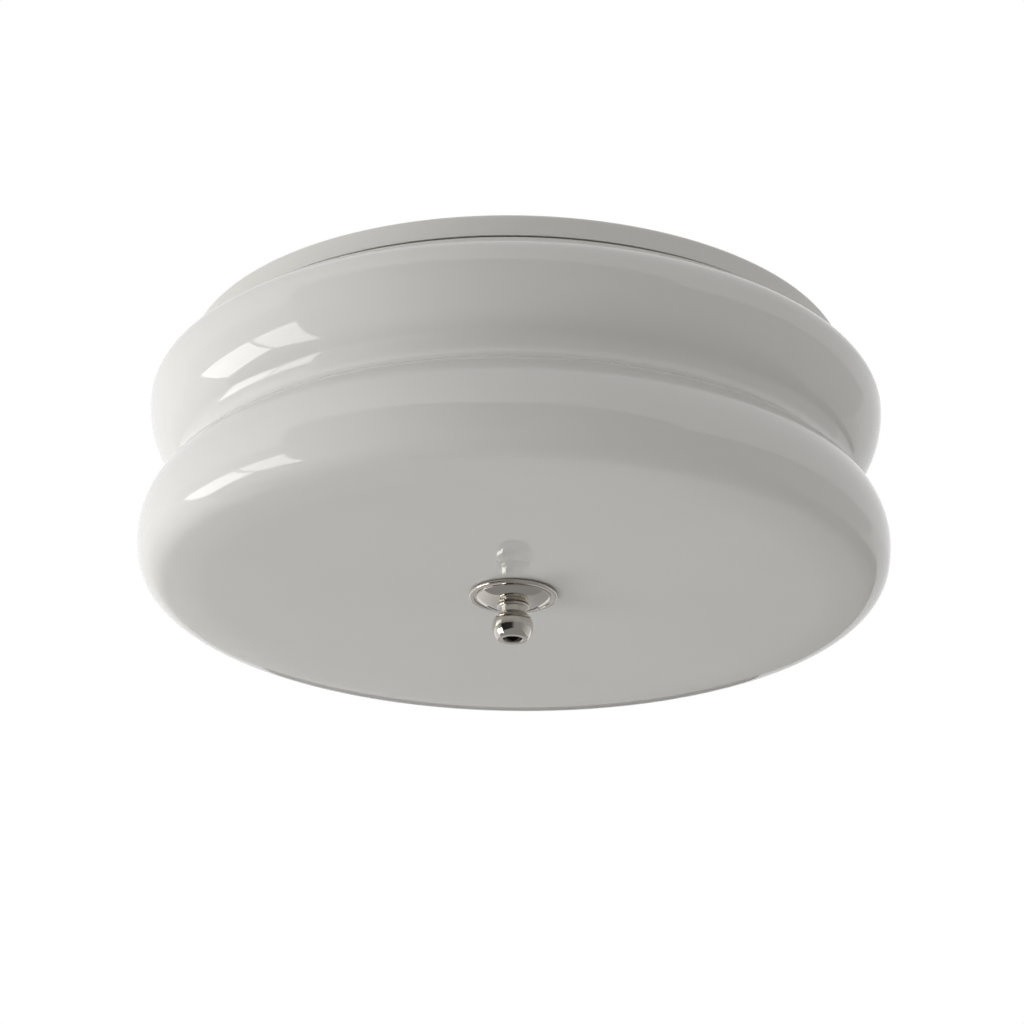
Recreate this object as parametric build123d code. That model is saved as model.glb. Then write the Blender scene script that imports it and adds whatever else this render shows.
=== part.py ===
from build123d import *
import math
import os

# Flush mount ceiling light: a white sheet-steel pan against the ceiling, and a
# blown opal glass shade held up by a ball finial on a threaded tube.
# Millimetres. +Z points up into the ceiling, and z = 0 is the ceiling plane.
# The origin is the centre of the mounting bar's face on the ceiling.

# ---------------------------------------------------------------- clearances
thread_gap = 0.05        # radial, between a male and a female thread
loose_gap = 0.3          # radial, between parts that only pass each other
screw_gap = 0.25         # radial, round a screw in a punched hole

# ---------------------------------------------------------------- glass shade
glass_wall = 4.0
low_bulge_radius = 200.0     # the widest part of the light: the shade's other radii follow it
top_bulge_inset = 1.9        # how much smaller the upper bulge's radius is
waist_inset = 15.4           # from the upper bulge in to the waist
neck_inset = 29.1            # from the upper bulge in to the neck
top_bulge_drop = 28.2        # from the neck's top down to the upper bulge
waist_drop = 40.2            # from there down to the waist
low_bulge_drop = 37.6        # and from the waist to the lower bulge
top_bulge_curve = 11.6       # radius of the arc above the upper bulge
top_bulge_turn = 55.7        # degrees that this arc turns
shoulder_curve = 87.2        # radius of the broad shoulder above it
neck_curve = 2.5             # radius of the hollow between neck and shoulder
upper_bulge_share = 0.463    # share of the upper S taken by its bulging arc
lower_waist_share = 0.32     # share of the lower S taken by its hollow arc
under_bulge_curve = 28.7     # radius just under the lower bulge
under_bulge_turn = 29.7      # degrees that this arc turns
corner_curve = 8.6           # radius of the lower rim
corner_turn = 55.5           # degrees that the lower rim turns
underside_curve = 420.0      # radius that runs the rim out into the flat bottom
glass_hole_radius = 7.5

# ---------------------------------------------------------------- ceiling pan
sheet = 1.2
pan_overhang = 10.3          # how far the pan reaches past the glass's neck
pan_taper = 1.0              # how much narrower the skirt is at its lower edge
pan_depth = 11.6
pan_corner = 2.5
ceiling_ring_width = 30.0    # flat ring that bears on the ceiling
field_depth = 9.0            # how far the middle of the pan stands off the ceiling
field_slope = 12.0           # width of the slope from the ring to the field
field_bend = 4.0
seal_width = 8.0
seal_thickness = 2.8
bead_width = 9.0             # stamped stiffening bead round the field
bead_depth = 1.5
bead_inset = 19.3            # from the field's edge in to the bead
bead_bend = 2.5

# ---------------------------------------------------------------- mounting bar
bar_length = 112.0
bar_width = 24.0
bar_thick = 2.5
box_screw_spacing = 88.9     # round ceiling box, three and a half inches
box_screw_slot = 9.0
box_screw_radius = 2.4
stud_radius = 2.0
stud_offset = 31.0
stud_length = 16.0
cap_nut_flats = 7.0
cap_nut_height = 7.0
cap_nut_ease = 0.2           # how much smaller the dome is than the hexagon
stud_washer_radius = 5.0
stud_washer_thick = 0.8

# ---------------------------------------------------------------- centre tube
tube_radius = 5.0            # M10 by 1 lamp tube
tube_bore = 3.6
tube_nut_flats = 14.0
tube_nut_thick = 4.0
lock_washer_radius = 9.0
lock_washer_thick = 1.0
lock_washer_teeth = 12
lock_washer_notch = 1.6
nut_ease = 0.6               # share of a nut's corner that its chamfer takes

# ---------------------------------------------------------------- bracket
bracket_sheet = 1.5
bracket_z = -24.0            # top of the bracket's plate
tab_reach = 27.0             # from the centre to the face that a lampholder bolts to
tab_width = 36.0
tab_length = 40.0
tab_corner = 5.0
tab_screw_offset = 12.5
tab_screw_radius = 1.5
tab_screw_grip = 7.0         # length of thread in the lampholder
pan_head_spread = 1.9        # radius of a small screw's head, over its thread's
pan_head_height = 1.2        # and its height
tab_wire_hole = 6.5
riser_reach = 14.0           # where the wires pass through the bracket's plate
riser_hole = 5.4

# ---------------------------------------------------------------- lampholders, E27
lamp_count = 3
first_lamp_angle = 90.0
lamp_axis_z = -44.0
holder_length = 42.0
holder_radius = 19.5
holder_foot_radius = 16.5
holder_foot_length = 10.0
holder_floor = 13.0          # thickness of the closed end
holder_bore = 14.3
holder_rib_count = 3
holder_rib = 0.8
shell_outer = 14.0
shell_inner = 13.6
shell_length = 25.0
contact_width = 7.0
contact_thick = 0.6
contact_rise = 5.0
contact_bend = 1.4
shell_floor_radius = 8.0     # the shell's floor is open inside this

# ---------------------------------------------------------------- bulbs, 45 mm golf ball
bulb_length = 78.0           # contact tip to the crown of the globe
globe_radius = 22.5
globe_wall = 1.2
seam_offset = 11.8           # from the globe's centre back to its seam
cap_radius = 13.2
cap_thread_depth = 0.9
cap_thread_pitch = 3.6
cap_thread_turns = 4
cap_lead_in = 2.4
tip_radius = 4.8
tip_height = 1.6
insulator_height = 3.4
tip_round = 0.6
insulator_ledge = 1.2        # from the tip out to the insulator's edge
cap_skin = 0.8
cap_lip = 1.2                # rim of the cap that holds the insulator
collar_step = 1.3            # from the cap's crests out to the collar
collar_swell = 0.5

# ---------------------------------------------------------------- cable inlet, terminals, earth
inlet_y = -92.0
grommet_hole = 8.0
grommet_bore = 4.5
grommet_flange = 10.5
grommet_lip = 1.8
block_y = -66.0
block_depth = 18.0
block_height = 12.0
block_corner = 1.5
pole_pitch = 10.0
pole_count = 3
pole_screw_radius = 2.0
pole_entry_radius = 1.9
pole_screw_play = 1.0        # between the screw's top and its shaft's mouth
block_screw_radius = 1.4
small_slot = (0.6, 1.2)      # width and depth of the screwdriver slots
pole_slot = (0.7, 1.6)
earth_slot = (1.0, 2.0)
earth_x = 30.0
earth_y = -52.0
earth_screw_radius = 2.0
earth_head_radius = 4.0
earth_head_height = 2.4
earth_head_round = 0.8
earth_washer_lip = 0.8       # how far the washer shows round the head
earth_washer_thick = 0.8
lug_thick = 0.8
lug_radius = 4.4
lug_reach = 5.1              # from the earth screw to the barrel's near end, clear of the washer
lug_barrel = 6.0
lug_wall = 0.65
lug_angle = 150.0            # the way that the barrel points from the screw

# ---------------------------------------------------------------- leads
lead_radius = 1.1            # silicone sleeve, 2.2 mm through, which bends easily
lead_room = 0.3              # radial, round a sleeve in its port
lead_side = 3.5              # each lead enters its lampholder this far beside the axis
port_depth = 6.0
port_end_gap = 0.5
live_drop = 3.4              # from the pan's field down to the live leads
neutral_drop = 7.6
earth_drop = 2.5
lead_pitch = 2.6             # between neighbouring leads in one mouth of the block
mouth_depth = 2.6
lead_bend_share = 0.45       # share of the shorter run that a bend takes

# ---------------------------------------------------------------- finial
washer_radius = 18.0
washer_thick = 1.2
washer_hub = 7.2
plate_radius = 23.7
plate_rim_thick = 2.2
plate_rim_round = 1.0
plate_groove_radius = 20.6
plate_groove_width = 0.9
plate_dome_radius = 19.4
plate_dome_mid = (15.4, 3.5)  # a point on the dome: its radius, and its drop from the washer
plate_drop = 5.4             # from the washer to the plate's lowest face
collar_radius = 8.7
collar_height = 1.9
neck_bar_radius = 8.0
ball_radius = 10.9
ball_drop = 12.6             # from the plate's lowest face to the ball's widest ring
ball_shoulder_curve = 7.0
ball_foot = 6.7              # from the widest ring down to the flat end
finial_chamfer = 0.8
tube_set_back = 4.3          # from the ball's flat end up to the end of the tube

# ---------------------------------------------------------------- worked out
lamp_angles = [first_lamp_angle + i * 360.0 / lamp_count for i in range(lamp_count)]


def point_at(centre, radius, degrees):
    """Point on a circle in the (radius, height) half plane."""
    angle = math.radians(degrees)
    return (centre[0] + radius * math.cos(angle), centre[1] + radius * math.sin(angle))


def turned(edges):
    """Solid of revolution about Z from a closed outline in (radius, height)."""
    outline = Plane.XZ * make_face(edges)
    return revolve(outline, Axis.Z)


def turned_polygon(points):
    """Solid of revolution about Z from straight edges."""
    return turned(Polyline(*points, close=True))


def ring(inner, outer, low, high):
    """Plain ring about Z."""
    return turned_polygon([(inner, low), (outer, low), (outer, high), (inner, high)])


def hex_nut(flats, thick, bore):
    """Hexagon nut with its top face at z = 0 and both outer edges eased."""
    body = extrude(RegularPolygon(flats / 2, 6, major_radius=False), -thick)
    corner = flats / 2 / math.cos(math.radians(30))
    ease = corner - flats / 2
    drum = chamfer(Cylinder(corner, thick).edges().filter_by(GeomType.CIRCLE), ease * nut_ease)
    body = body & (Pos(0, 0, -thick / 2) * drum)
    return body - Pos(0, 0, -thick / 2) * Cylinder(bore, thick * 2)


def around(shape, angle):
    """Turns a shape about Z."""
    return Rot(0, 0, angle) * shape


def lamp_place(shape, angle):
    """Lays a part made along +Z outwards along a lamp's axis, its base on the bracket's tab."""
    return Rot(0, 0, angle) * Pos(tab_reach, 0, lamp_axis_z) * Rot(0, 90, 0) * shape


def save(node, shape):
    """Writes one node."""
    shape.label = node
    export_step(shape, os.path.join("parts", node + ".step"))


os.makedirs("parts", exist_ok=True)


# ================================================================ glass shade
def s_bend(radius_a, z_a, radius_b, z_b):
    """Total radius and half turn of two equal-tangent arcs between two upright tangents."""
    step = abs(radius_b - radius_a)
    drop = z_a - z_b
    total = (step * step + drop * drop) / (2 * step)
    turn = math.degrees(math.atan2(drop, total - step))
    return total, turn


glass_top_z = -sheet - seal_thickness
top_bulge_radius = low_bulge_radius - top_bulge_inset
top_bulge_z = glass_top_z - top_bulge_drop
waist_radius = top_bulge_radius - waist_inset
waist_z = top_bulge_z - waist_drop
low_bulge_z = waist_z - low_bulge_drop
neck_radius = top_bulge_radius - neck_inset
pan_radius = neck_radius + pan_overhang

upper_total, upper_turn = s_bend(top_bulge_radius, top_bulge_z, waist_radius, waist_z)
lower_total, lower_turn = s_bend(waist_radius, waist_z, low_bulge_radius, low_bulge_z)
upper_bulge_curve = upper_total * upper_bulge_share
upper_waist_curve = upper_total - upper_bulge_curve
lower_waist_curve = lower_total * lower_waist_share
lower_bulge_curve = lower_total - lower_waist_curve

bulge_centre = (top_bulge_radius - top_bulge_curve, top_bulge_z)
bulge_end = point_at(bulge_centre, top_bulge_curve, top_bulge_turn)
shoulder_centre = point_at(bulge_end, -shoulder_curve, top_bulge_turn)
# The shoulder ends where the hollow under the neck touches it.
neck_turn = math.degrees(math.acos(
    (neck_radius + neck_curve - shoulder_centre[0]) / (shoulder_curve + neck_curve)))
neck_centre = point_at(shoulder_centre, shoulder_curve + neck_curve, neck_turn)
under_bulge_centre = (low_bulge_radius - under_bulge_curve, low_bulge_z)
under_bulge_end = point_at(under_bulge_centre, under_bulge_curve, -under_bulge_turn)
corner_centre = point_at(under_bulge_end, -corner_curve, -under_bulge_turn)
rim_turn = under_bulge_turn + corner_turn
corner_end = point_at(corner_centre, corner_curve, -rim_turn)
underside_centre = point_at(corner_end, -underside_curve, -rim_turn)
glass_bottom_z = underside_centre[1] - underside_curve


def glass_line(depth):
    """The glass's outline, the given depth inside its outer face, from the neck to the hole."""
    neck_top = (neck_radius - depth, glass_top_z)
    neck_foot = (neck_radius - depth, neck_centre[1])
    flat_start = (underside_centre[0], glass_bottom_z + depth)
    flat_end = (glass_hole_radius, glass_bottom_z + depth)
    upper_hollow = (waist_radius + upper_waist_curve, waist_z)
    lower_hollow = (waist_radius + lower_waist_curve, waist_z)
    upper_round = (top_bulge_radius - upper_bulge_curve, top_bulge_z)
    lower_round = (low_bulge_radius - lower_bulge_curve, low_bulge_z)
    return [
        Line(neck_top, neck_foot),
        CenterArc(neck_centre, neck_curve + depth, 180, neck_turn),
        CenterArc(shoulder_centre, shoulder_curve - depth, neck_turn, top_bulge_turn - neck_turn),
        CenterArc(bulge_centre, top_bulge_curve - depth, top_bulge_turn, -top_bulge_turn),
        CenterArc(upper_round, upper_bulge_curve - depth, 0, -upper_turn),
        CenterArc(upper_hollow, upper_waist_curve + depth, 180 - upper_turn, upper_turn),
        CenterArc(lower_hollow, lower_waist_curve + depth, 180, lower_turn),
        CenterArc(lower_round, lower_bulge_curve - depth, lower_turn, -lower_turn),
        CenterArc(under_bulge_centre, under_bulge_curve - depth, 0, -under_bulge_turn),
        CenterArc(corner_centre, corner_curve - depth, -under_bulge_turn, -corner_turn),
        CenterArc(underside_centre, underside_curve - depth, -rim_turn, rim_turn - 90),
        Line(flat_start, flat_end),
    ]


outer_line = glass_line(0)
inner_line = glass_line(glass_wall)
rim = Line((neck_radius, glass_top_z), (neck_radius - glass_wall, glass_top_z))
hole_wall = Line((glass_hole_radius, glass_bottom_z), (glass_hole_radius, glass_bottom_z + glass_wall))
glass_shade = turned(outer_line + inner_line + [rim, hole_wall])
save("glass_shade", glass_shade)

# ================================================================ heights down the centre
washer_z = glass_bottom_z - washer_thick
plate_low_z = washer_z - plate_drop
ball_z = plate_low_z - ball_drop
ball_end_z = ball_z - ball_foot
tube_end_z = ball_end_z + tube_set_back
field_top_z = -field_depth
field_z = field_top_z - sheet

# ================================================================ ceiling pan
field_edge = pan_radius - ceiling_ring_width - field_slope
bead_radius = field_edge - bead_inset
pan_line = FilletPolyline(
    (0, field_top_z),
    (bead_radius - bead_width / 2, field_top_z),
    (bead_radius, field_top_z - bead_depth),
    (bead_radius + bead_width / 2, field_top_z),
    (field_edge, field_top_z),
    (pan_radius - ceiling_ring_width, 0),
    (pan_radius, 0),
    (pan_radius - pan_taper, -pan_depth),
    radius=[bead_bend, bead_bend, bead_bend, field_bend, field_bend, pan_corner],
)
pan_face = make_face(offset(pan_line, sheet, side=Side.RIGHT, closed=True).edges())
ceiling_pan = revolve(Plane.XZ * pan_face, Axis.Z)
stud_places = [Pos(x, 0, 0) for x in (-stud_offset, stud_offset)]
through_field = field_depth * 4
ceiling_pan -= Cylinder(tube_radius + loose_gap, through_field)
ceiling_pan -= [place * Cylinder(stud_radius + screw_gap, through_field) for place in stud_places]
ceiling_pan -= Pos(0, inlet_y, 0) * Cylinder(grommet_hole, through_field)
ceiling_pan -= Pos(earth_x, earth_y, 0) * Cylinder(earth_screw_radius + thread_gap, through_field)
block_screw_places = [Pos(x, block_y, 0) for x in (-pole_pitch / 2, pole_pitch / 2)]
ceiling_pan -= [place * Cylinder(block_screw_radius + thread_gap, through_field)
                for place in block_screw_places]
save("ceiling_pan", ceiling_pan)

seal_middle = neck_radius - glass_wall / 2
glass_seal = ring(seal_middle - seal_width / 2, seal_middle + seal_width / 2, glass_top_z, -sheet)
save("glass_seal", glass_seal)

# ================================================================ mounting bar, studs, cap nuts
bar_blank = SlotOverall(bar_length, bar_width)
mounting_bar = extrude(bar_blank, -bar_thick)
slot = SlotOverall(box_screw_slot, box_screw_radius * 2)
for x in (-box_screw_spacing / 2, box_screw_spacing / 2):
    mounting_bar -= extrude(Pos(x, 0, 0) * slot, bar_thick * 2, both=True)
mounting_bar -= [place * Cylinder(stud_radius + thread_gap, bar_thick * 4) for place in stud_places]
mounting_bar -= Cylinder(tube_radius + thread_gap, bar_thick * 4)
save("mounting_bar", mounting_bar)

stud = Pos(0, 0, -stud_length / 2) * Cylinder(stud_radius, stud_length)
save("bar_studs", Compound(children=[place * stud for place in stud_places]))

stud_washer = ring(stud_radius + screw_gap, stud_washer_radius, field_z - stud_washer_thick, field_z)
save("stud_washers", Compound(children=[place * stud_washer for place in stud_places]))

cap_nut_top = field_z - stud_washer_thick
cap_nut_hex = cap_nut_height / 2
cap_dome_radius = cap_nut_flats / 2 - cap_nut_ease
cap_bore_depth = stud_length + cap_nut_top + loose_gap
cap_dome = Pos(0, 0, -cap_nut_height / 2) * Cylinder(cap_dome_radius, cap_nut_height)
cap_dome = fillet(cap_dome.edges().group_by(Axis.Z)[0], cap_dome_radius - loose_gap)
cap_nut = hex_nut(cap_nut_flats, cap_nut_hex, stud_radius + thread_gap) + cap_dome
cap_nut -= Pos(0, 0, -cap_bore_depth / 2) * Cylinder(stud_radius + thread_gap, cap_bore_depth)
save("cap_nuts", Compound(children=[place * Pos(0, 0, cap_nut_top) * cap_nut for place in stud_places]))

# ================================================================ centre tube, nuts, lock washers
save("centre_tube", ring(tube_bore, tube_radius, tube_end_z, 0))

bracket_low_z = bracket_z - bracket_sheet
tube_nut = hex_nut(tube_nut_flats, tube_nut_thick, tube_radius + thread_gap)
tube_nut_tops = [
    -bar_thick,
    field_z - lock_washer_thick,
    bracket_z + tube_nut_thick,
    bracket_low_z - lock_washer_thick,
]
save("tube_nuts", Compound(children=[Pos(0, 0, z) * tube_nut for z in tube_nut_tops]))

lock_washer = ring(tube_radius + loose_gap, lock_washer_radius, -lock_washer_thick, 0)
notch_length = (lock_washer_radius - tube_radius) / 2
notch = Pos(lock_washer_radius, 0, 0) * Box(notch_length * 2, lock_washer_notch, lock_washer_thick * 4)
lock_washer -= [around(notch, i * 360 / lock_washer_teeth) for i in range(lock_washer_teeth)]
lock_washer_tops = [field_z, bracket_low_z]
save("lock_washers", Compound(children=[Pos(0, 0, z) * lock_washer for z in lock_washer_tops]))

# ================================================================ lampholder bracket
plate_corners = []
for angle in lamp_angles:
    for side in (-1, 1):
        corner = Vector(tab_reach, side * tab_width / 2, 0).rotate(Axis.Z, angle)
        plate_corners.append((corner.X, corner.Y))
bracket_plate = extrude(make_face(Polyline(*plate_corners, close=True)), -bracket_sheet)
bracket = Pos(0, 0, bracket_z) * bracket_plate
axis_to_top = bracket_z - lamp_axis_z
tab_blank = Pos(tab_length / 2 - axis_to_top, 0, 0) * RectangleRounded(tab_length, tab_width, tab_corner)
tab_blank += Pos(tab_length / 4 - axis_to_top, 0, 0) * Rectangle(tab_length / 2, tab_width)
tab_blank -= Circle(tab_wire_hole)
tab_screw_spots = [Pos(0, side * tab_screw_offset, 0) for side in (-1, 1)]
tab_blank -= [spot * Circle(tab_screw_radius + screw_gap) for spot in tab_screw_spots]
tab = extrude(tab_blank, -bracket_sheet)
for angle in lamp_angles:
    bracket += lamp_place(tab, angle)
    bracket -= around(Pos(riser_reach, 0, bracket_z) * Cylinder(riser_hole, bracket_sheet * 4), angle)
bracket -= Pos(0, 0, bracket_z) * Cylinder(tube_radius + loose_gap, bracket_sheet * 4)
bends = [edge for edge in bracket.edges().filter_by(GeomType.LINE)
         if abs(edge.center().Z - bracket_z) < 0.01 and abs(edge.length - tab_width) < 0.1]
bracket = fillet(bends, bracket_sheet)
save("lampholder_bracket", bracket)

tab_screw_length = bracket_sheet + tab_screw_grip
tab_screw = Pos(0, 0, -bracket_sheet) * Cylinder(
    tab_screw_radius, tab_screw_length, align=(Align.CENTER, Align.CENTER, Align.MIN))
tab_screw += Pos(0, 0, -bracket_sheet) * Cylinder(
    tab_screw_radius * pan_head_spread, tab_screw_radius * pan_head_height,
    align=(Align.CENTER, Align.CENTER, Align.MAX))
tab_screws = [lamp_place(spot * tab_screw, angle) for angle in lamp_angles for spot in tab_screw_spots]
save("lampholder_screws", Compound(children=tab_screws))

# ================================================================ lampholders
holder_points = [
    (0, 0),
    (holder_foot_radius, 0),
    (holder_foot_radius, holder_foot_length),
    (holder_radius, holder_foot_length + holder_radius - holder_foot_radius),
]
rib_step = (holder_length - holder_floor) / (holder_rib_count + 1)
for i in range(holder_rib_count):
    rib_z = holder_floor + rib_step * (i + 1)
    holder_points += [
        (holder_radius, rib_z - holder_rib * 2),
        (holder_radius + holder_rib, rib_z - holder_rib),
        (holder_radius + holder_rib, rib_z + holder_rib),
        (holder_radius, rib_z + holder_rib * 2),
    ]
holder_points += [
    (holder_radius, holder_length),
    (holder_bore, holder_length),
    (holder_bore, holder_floor),
    (0, holder_floor),
]
holder = turned_polygon(holder_points)
pilot_depth = tab_screw_grip + loose_gap
for spot in tab_screw_spots:
    holder -= spot * Pos(0, 0, pilot_depth / 2) * Cylinder(tab_screw_radius + thread_gap, pilot_depth)
lead_port = Pos(0, 0, port_depth / 2) * Cylinder(lead_radius + lead_room, port_depth)
holder -= [Pos(0, side * lead_side, 0) * lead_port for side in (-1, 1)]

screw_shell = turned_polygon([
    (shell_floor_radius, holder_floor),
    (shell_outer, holder_floor),
    (shell_outer, holder_floor + shell_length),
    (shell_inner, holder_floor + shell_length),
    (shell_inner, holder_floor + shell_outer - shell_inner),
    (shell_floor_radius, holder_floor + shell_outer - shell_inner),
])

tongue_low = holder_floor + contact_thick / 2
tongue_high = holder_floor + contact_rise - contact_thick / 2
tongue_line = FilletPolyline(
    (contact_width * 0.7, tongue_low),
    (-contact_width * 0.6, tongue_low),
    (-contact_width * 0.6, tongue_high),
    (contact_width * 0.5, tongue_high),
    radius=contact_bend,
)
tongue_face = make_face(offset(tongue_line, contact_thick / 2, kind=Kind.TANGENT).edges())
tongue = extrude(Plane.XZ * tongue_face, contact_width / 2, both=True)

for i, angle in enumerate(lamp_angles, start=1):
    save(f"lampholder_{i}", lamp_place(holder, angle))
save("screw_shells", Compound(children=[lamp_place(screw_shell, angle) for angle in lamp_angles]))
save("centre_contacts", Compound(children=[lamp_place(tongue, angle) for angle in lamp_angles]))

# ================================================================ bulbs
tip_z = holder_floor + contact_rise
insulator_z = tip_z + tip_height
cap_z = insulator_z + insulator_height
cap_end_z = holder_length + loose_gap
globe_z = tip_z + bulb_length - globe_radius
seam_z = globe_z - seam_offset
seam_radius = math.sqrt(globe_radius ** 2 - seam_offset ** 2)
cap_root = cap_radius - cap_thread_depth
collar_radius_low = cap_radius + collar_step

bulb_tip = turned([
    Line((0, tip_z), (tip_radius - tip_round, tip_z)),
    RadiusArc((tip_radius - tip_round, tip_z), (tip_radius, tip_z + tip_round), -tip_round),
    Line((tip_radius, tip_z + tip_round), (tip_radius, insulator_z)),
    Line((tip_radius, insulator_z), (0, insulator_z)),
    Line((0, insulator_z), (0, tip_z)),
])
bulb_insulator = turned_polygon([
    (0, insulator_z),
    (tip_radius + insulator_ledge, insulator_z),
    (cap_root - cap_skin, cap_z),
    (0, cap_z),
])

lip_radius = cap_root - cap_skin - cap_lip
cap_edges = [Line((lip_radius, cap_z), (cap_root, cap_z))]
crest_start = cap_z + cap_lead_in
cap_edges.append(Line((cap_root, cap_z), (cap_root, crest_start)))
for i in range(cap_thread_turns):
    low = crest_start + i * cap_thread_pitch
    high = low + cap_thread_pitch
    crest = (cap_radius, (low + high) / 2)
    cap_edges.append(ThreePointArc((cap_root, low), crest, (cap_root, high)))
crest_end = crest_start + cap_thread_turns * cap_thread_pitch
cap_edges += [
    Line((cap_root, crest_end), (cap_root, cap_end_z)),
    Line((cap_root, cap_end_z), (cap_root - cap_skin, cap_end_z)),
    Line((cap_root - cap_skin, cap_end_z), (cap_root - cap_skin, cap_z + cap_skin)),
    Line((cap_root - cap_skin, cap_z + cap_skin), (lip_radius, cap_z + cap_skin)),
    Line((lip_radius, cap_z + cap_skin), (lip_radius, cap_z)),
]
bulb_cap = turned(cap_edges)

plug_radius = cap_root - cap_skin - loose_gap
collar_low_z = cap_end_z
collar_bulge = ((collar_radius_low + seam_radius) / 2 + collar_swell, (collar_low_z + seam_z) / 2)
bulb_collar = turned([
    Line((0, cap_z + cap_skin), (plug_radius, cap_z + cap_skin)),
    Line((plug_radius, cap_z + cap_skin), (plug_radius, collar_low_z)),
    Line((plug_radius, collar_low_z), (collar_radius_low, collar_low_z)),
    ThreePointArc((collar_radius_low, collar_low_z), collar_bulge, (seam_radius, seam_z)),
    Line((seam_radius, seam_z), (0, seam_z)),
    Line((0, seam_z), (0, cap_z + cap_skin)),
])

seam_angle = -math.degrees(math.asin(seam_offset / globe_radius))
inside_radius = globe_radius - globe_wall
inside_angle = -math.degrees(math.asin(seam_offset / inside_radius))
bulb_globe = turned([
    CenterArc((0, globe_z), globe_radius, seam_angle, 90 - seam_angle),
    Line((0, globe_z + globe_radius), (0, globe_z + inside_radius)),
    CenterArc((0, globe_z), inside_radius, inside_angle, 90 - inside_angle),
    Line(point_at((0, globe_z), inside_radius, inside_angle),
         point_at((0, globe_z), globe_radius, seam_angle)),
])
bulb_pieces = {
    "globe": bulb_globe,
    "collar": bulb_collar,
    "cap": bulb_cap,
    "insulator": bulb_insulator,
    "tip": bulb_tip,
}
for i, angle in enumerate(lamp_angles, start=1):
    for piece, shape in bulb_pieces.items():
        save(f"bulb_{i}_{piece}", lamp_place(shape, angle))

# ================================================================ cable grommet
grommet = turned_polygon([
    (grommet_bore, field_z - grommet_lip),
    (grommet_flange, field_z - grommet_lip),
    (grommet_flange, field_z),
    (grommet_hole - loose_gap, field_z),
    (grommet_hole - loose_gap, field_top_z),
    (grommet_flange, field_top_z),
    (grommet_flange, field_top_z + grommet_lip),
    (grommet_bore, field_top_z + grommet_lip),
])
save("cable_grommet", Pos(0, inlet_y, 0) * grommet)

# ================================================================ terminal block
block_length = pole_pitch * pole_count + 2 * (pole_pitch / 2 - pole_entry_radius)
block_middle = Pos(0, block_y, field_z - block_height / 2)
pole_places = [Pos((i - (pole_count - 1) / 2) * pole_pitch, 0, 0) for i in range(pole_count)]
pole_screw_places = [place * Pos(0, side * block_depth / 4, 0) for place in pole_places for side in (-1, 1)]
block = Box(block_length, block_depth, block_height)
block = fillet(block.edges().filter_by(Axis.Z), block_corner)
pole_entry = Rot(90, 0, 0) * Cylinder(
    pole_entry_radius, block_depth, align=(Align.CENTER, Align.CENTER, Align.MIN))
block -= [place * pole_entry for place in pole_places]
shaft = Cylinder(pole_screw_radius + thread_gap, block_height / 2,
                 align=(Align.CENTER, Align.CENTER, Align.MAX))
block -= [place * shaft for place in pole_screw_places]
fixing_hole = Cylinder(block_screw_radius + screw_gap, block_height * 2)
block -= [Pos(x, 0, 0) * fixing_hole for x in (-pole_pitch / 2, pole_pitch / 2)]
block_face_y = block_y + block_depth / 2
lead_end_y = block_face_y - mouth_depth + port_end_gap
live_z = field_z - live_drop
neutral_z = field_z - neutral_drop
earth_z = field_z - earth_drop
port_radius = lead_radius + lead_room
block = block_middle * block
mouths = [(-pole_pitch, live_z, lamp_count), (0, earth_z, 1), (pole_pitch, neutral_z, lamp_count)]
for x, level, count in mouths:
    mouth = Circle(port_radius)
    if count > 1:
        mouth = SlotOverall(port_radius * 2 + (count - 1) * lead_pitch, port_radius * 2)
    block -= extrude(Plane.XZ.offset(-block_face_y) * Pos(x, level, 0) * mouth, mouth_depth)
save("terminal_block", block)

pole_screw_length = block_height / 2 - pole_entry_radius - pole_screw_play
pole_screw = Pos(0, 0, -pole_entry_radius) * Cylinder(
    pole_screw_radius, pole_screw_length, align=(Align.CENTER, Align.CENTER, Align.MAX))
pole_screw -= Pos(0, 0, -pole_entry_radius - pole_screw_length) * Box(pole_screw_radius * 4, *pole_slot)
pole_screws = [block_middle * place * pole_screw for place in pole_screw_places]
save("terminal_screws", Compound(children=pole_screws))

fixing_length = block_height + sheet
fixing_screw = Cylinder(block_screw_radius, fixing_length, align=(Align.CENTER, Align.CENTER, Align.MAX))
fixing_head = Cylinder(block_screw_radius * pan_head_spread, block_screw_radius,
                       align=(Align.CENTER, Align.CENTER, Align.MAX))
fixing_head -= Pos(0, 0, -block_screw_radius) * Box(block_screw_radius * 4, *small_slot)
fixing_screw += Pos(0, 0, -fixing_length) * fixing_head
fixing_screws = [place * Pos(0, 0, field_top_z) * fixing_screw for place in block_screw_places]
save("block_screws", Compound(children=fixing_screws))

# ================================================================ earth screw, washer and lug
earth_place = Pos(earth_x, earth_y, 0)
earth_washer_z = field_z - earth_washer_thick
earth_washer = ring(earth_screw_radius + screw_gap, earth_head_radius + earth_washer_lip, earth_washer_z, field_z)
save("earth_washer", earth_place * earth_washer)

lug_z = earth_washer_z - lug_thick
lug_end = lug_reach + lug_barrel
barrel_radius = port_radius + lug_wall
lug = ring(earth_screw_radius + screw_gap, lug_radius, lug_z, earth_washer_z)
lug_tongue = Pos(0, 0, lug_z) * Box(
    lug_end, port_radius * 2, lug_thick, align=(Align.MIN, Align.CENTER, Align.MIN))
lug += lug_tongue - ring(0, lug_radius - lug_thick, lug_z, earth_washer_z)
lug += Pos(lug_reach + lug_barrel / 2, 0, earth_z) * Rot(0, 90, 0) * Cylinder(barrel_radius, lug_barrel)
lug -= Pos(lug_reach + lug_barrel / 2, 0, earth_z) * Rot(0, 90, 0) * Cylinder(port_radius, lug_barrel * 2)
save("earth_lug", earth_place * around(lug, lug_angle))

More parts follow.
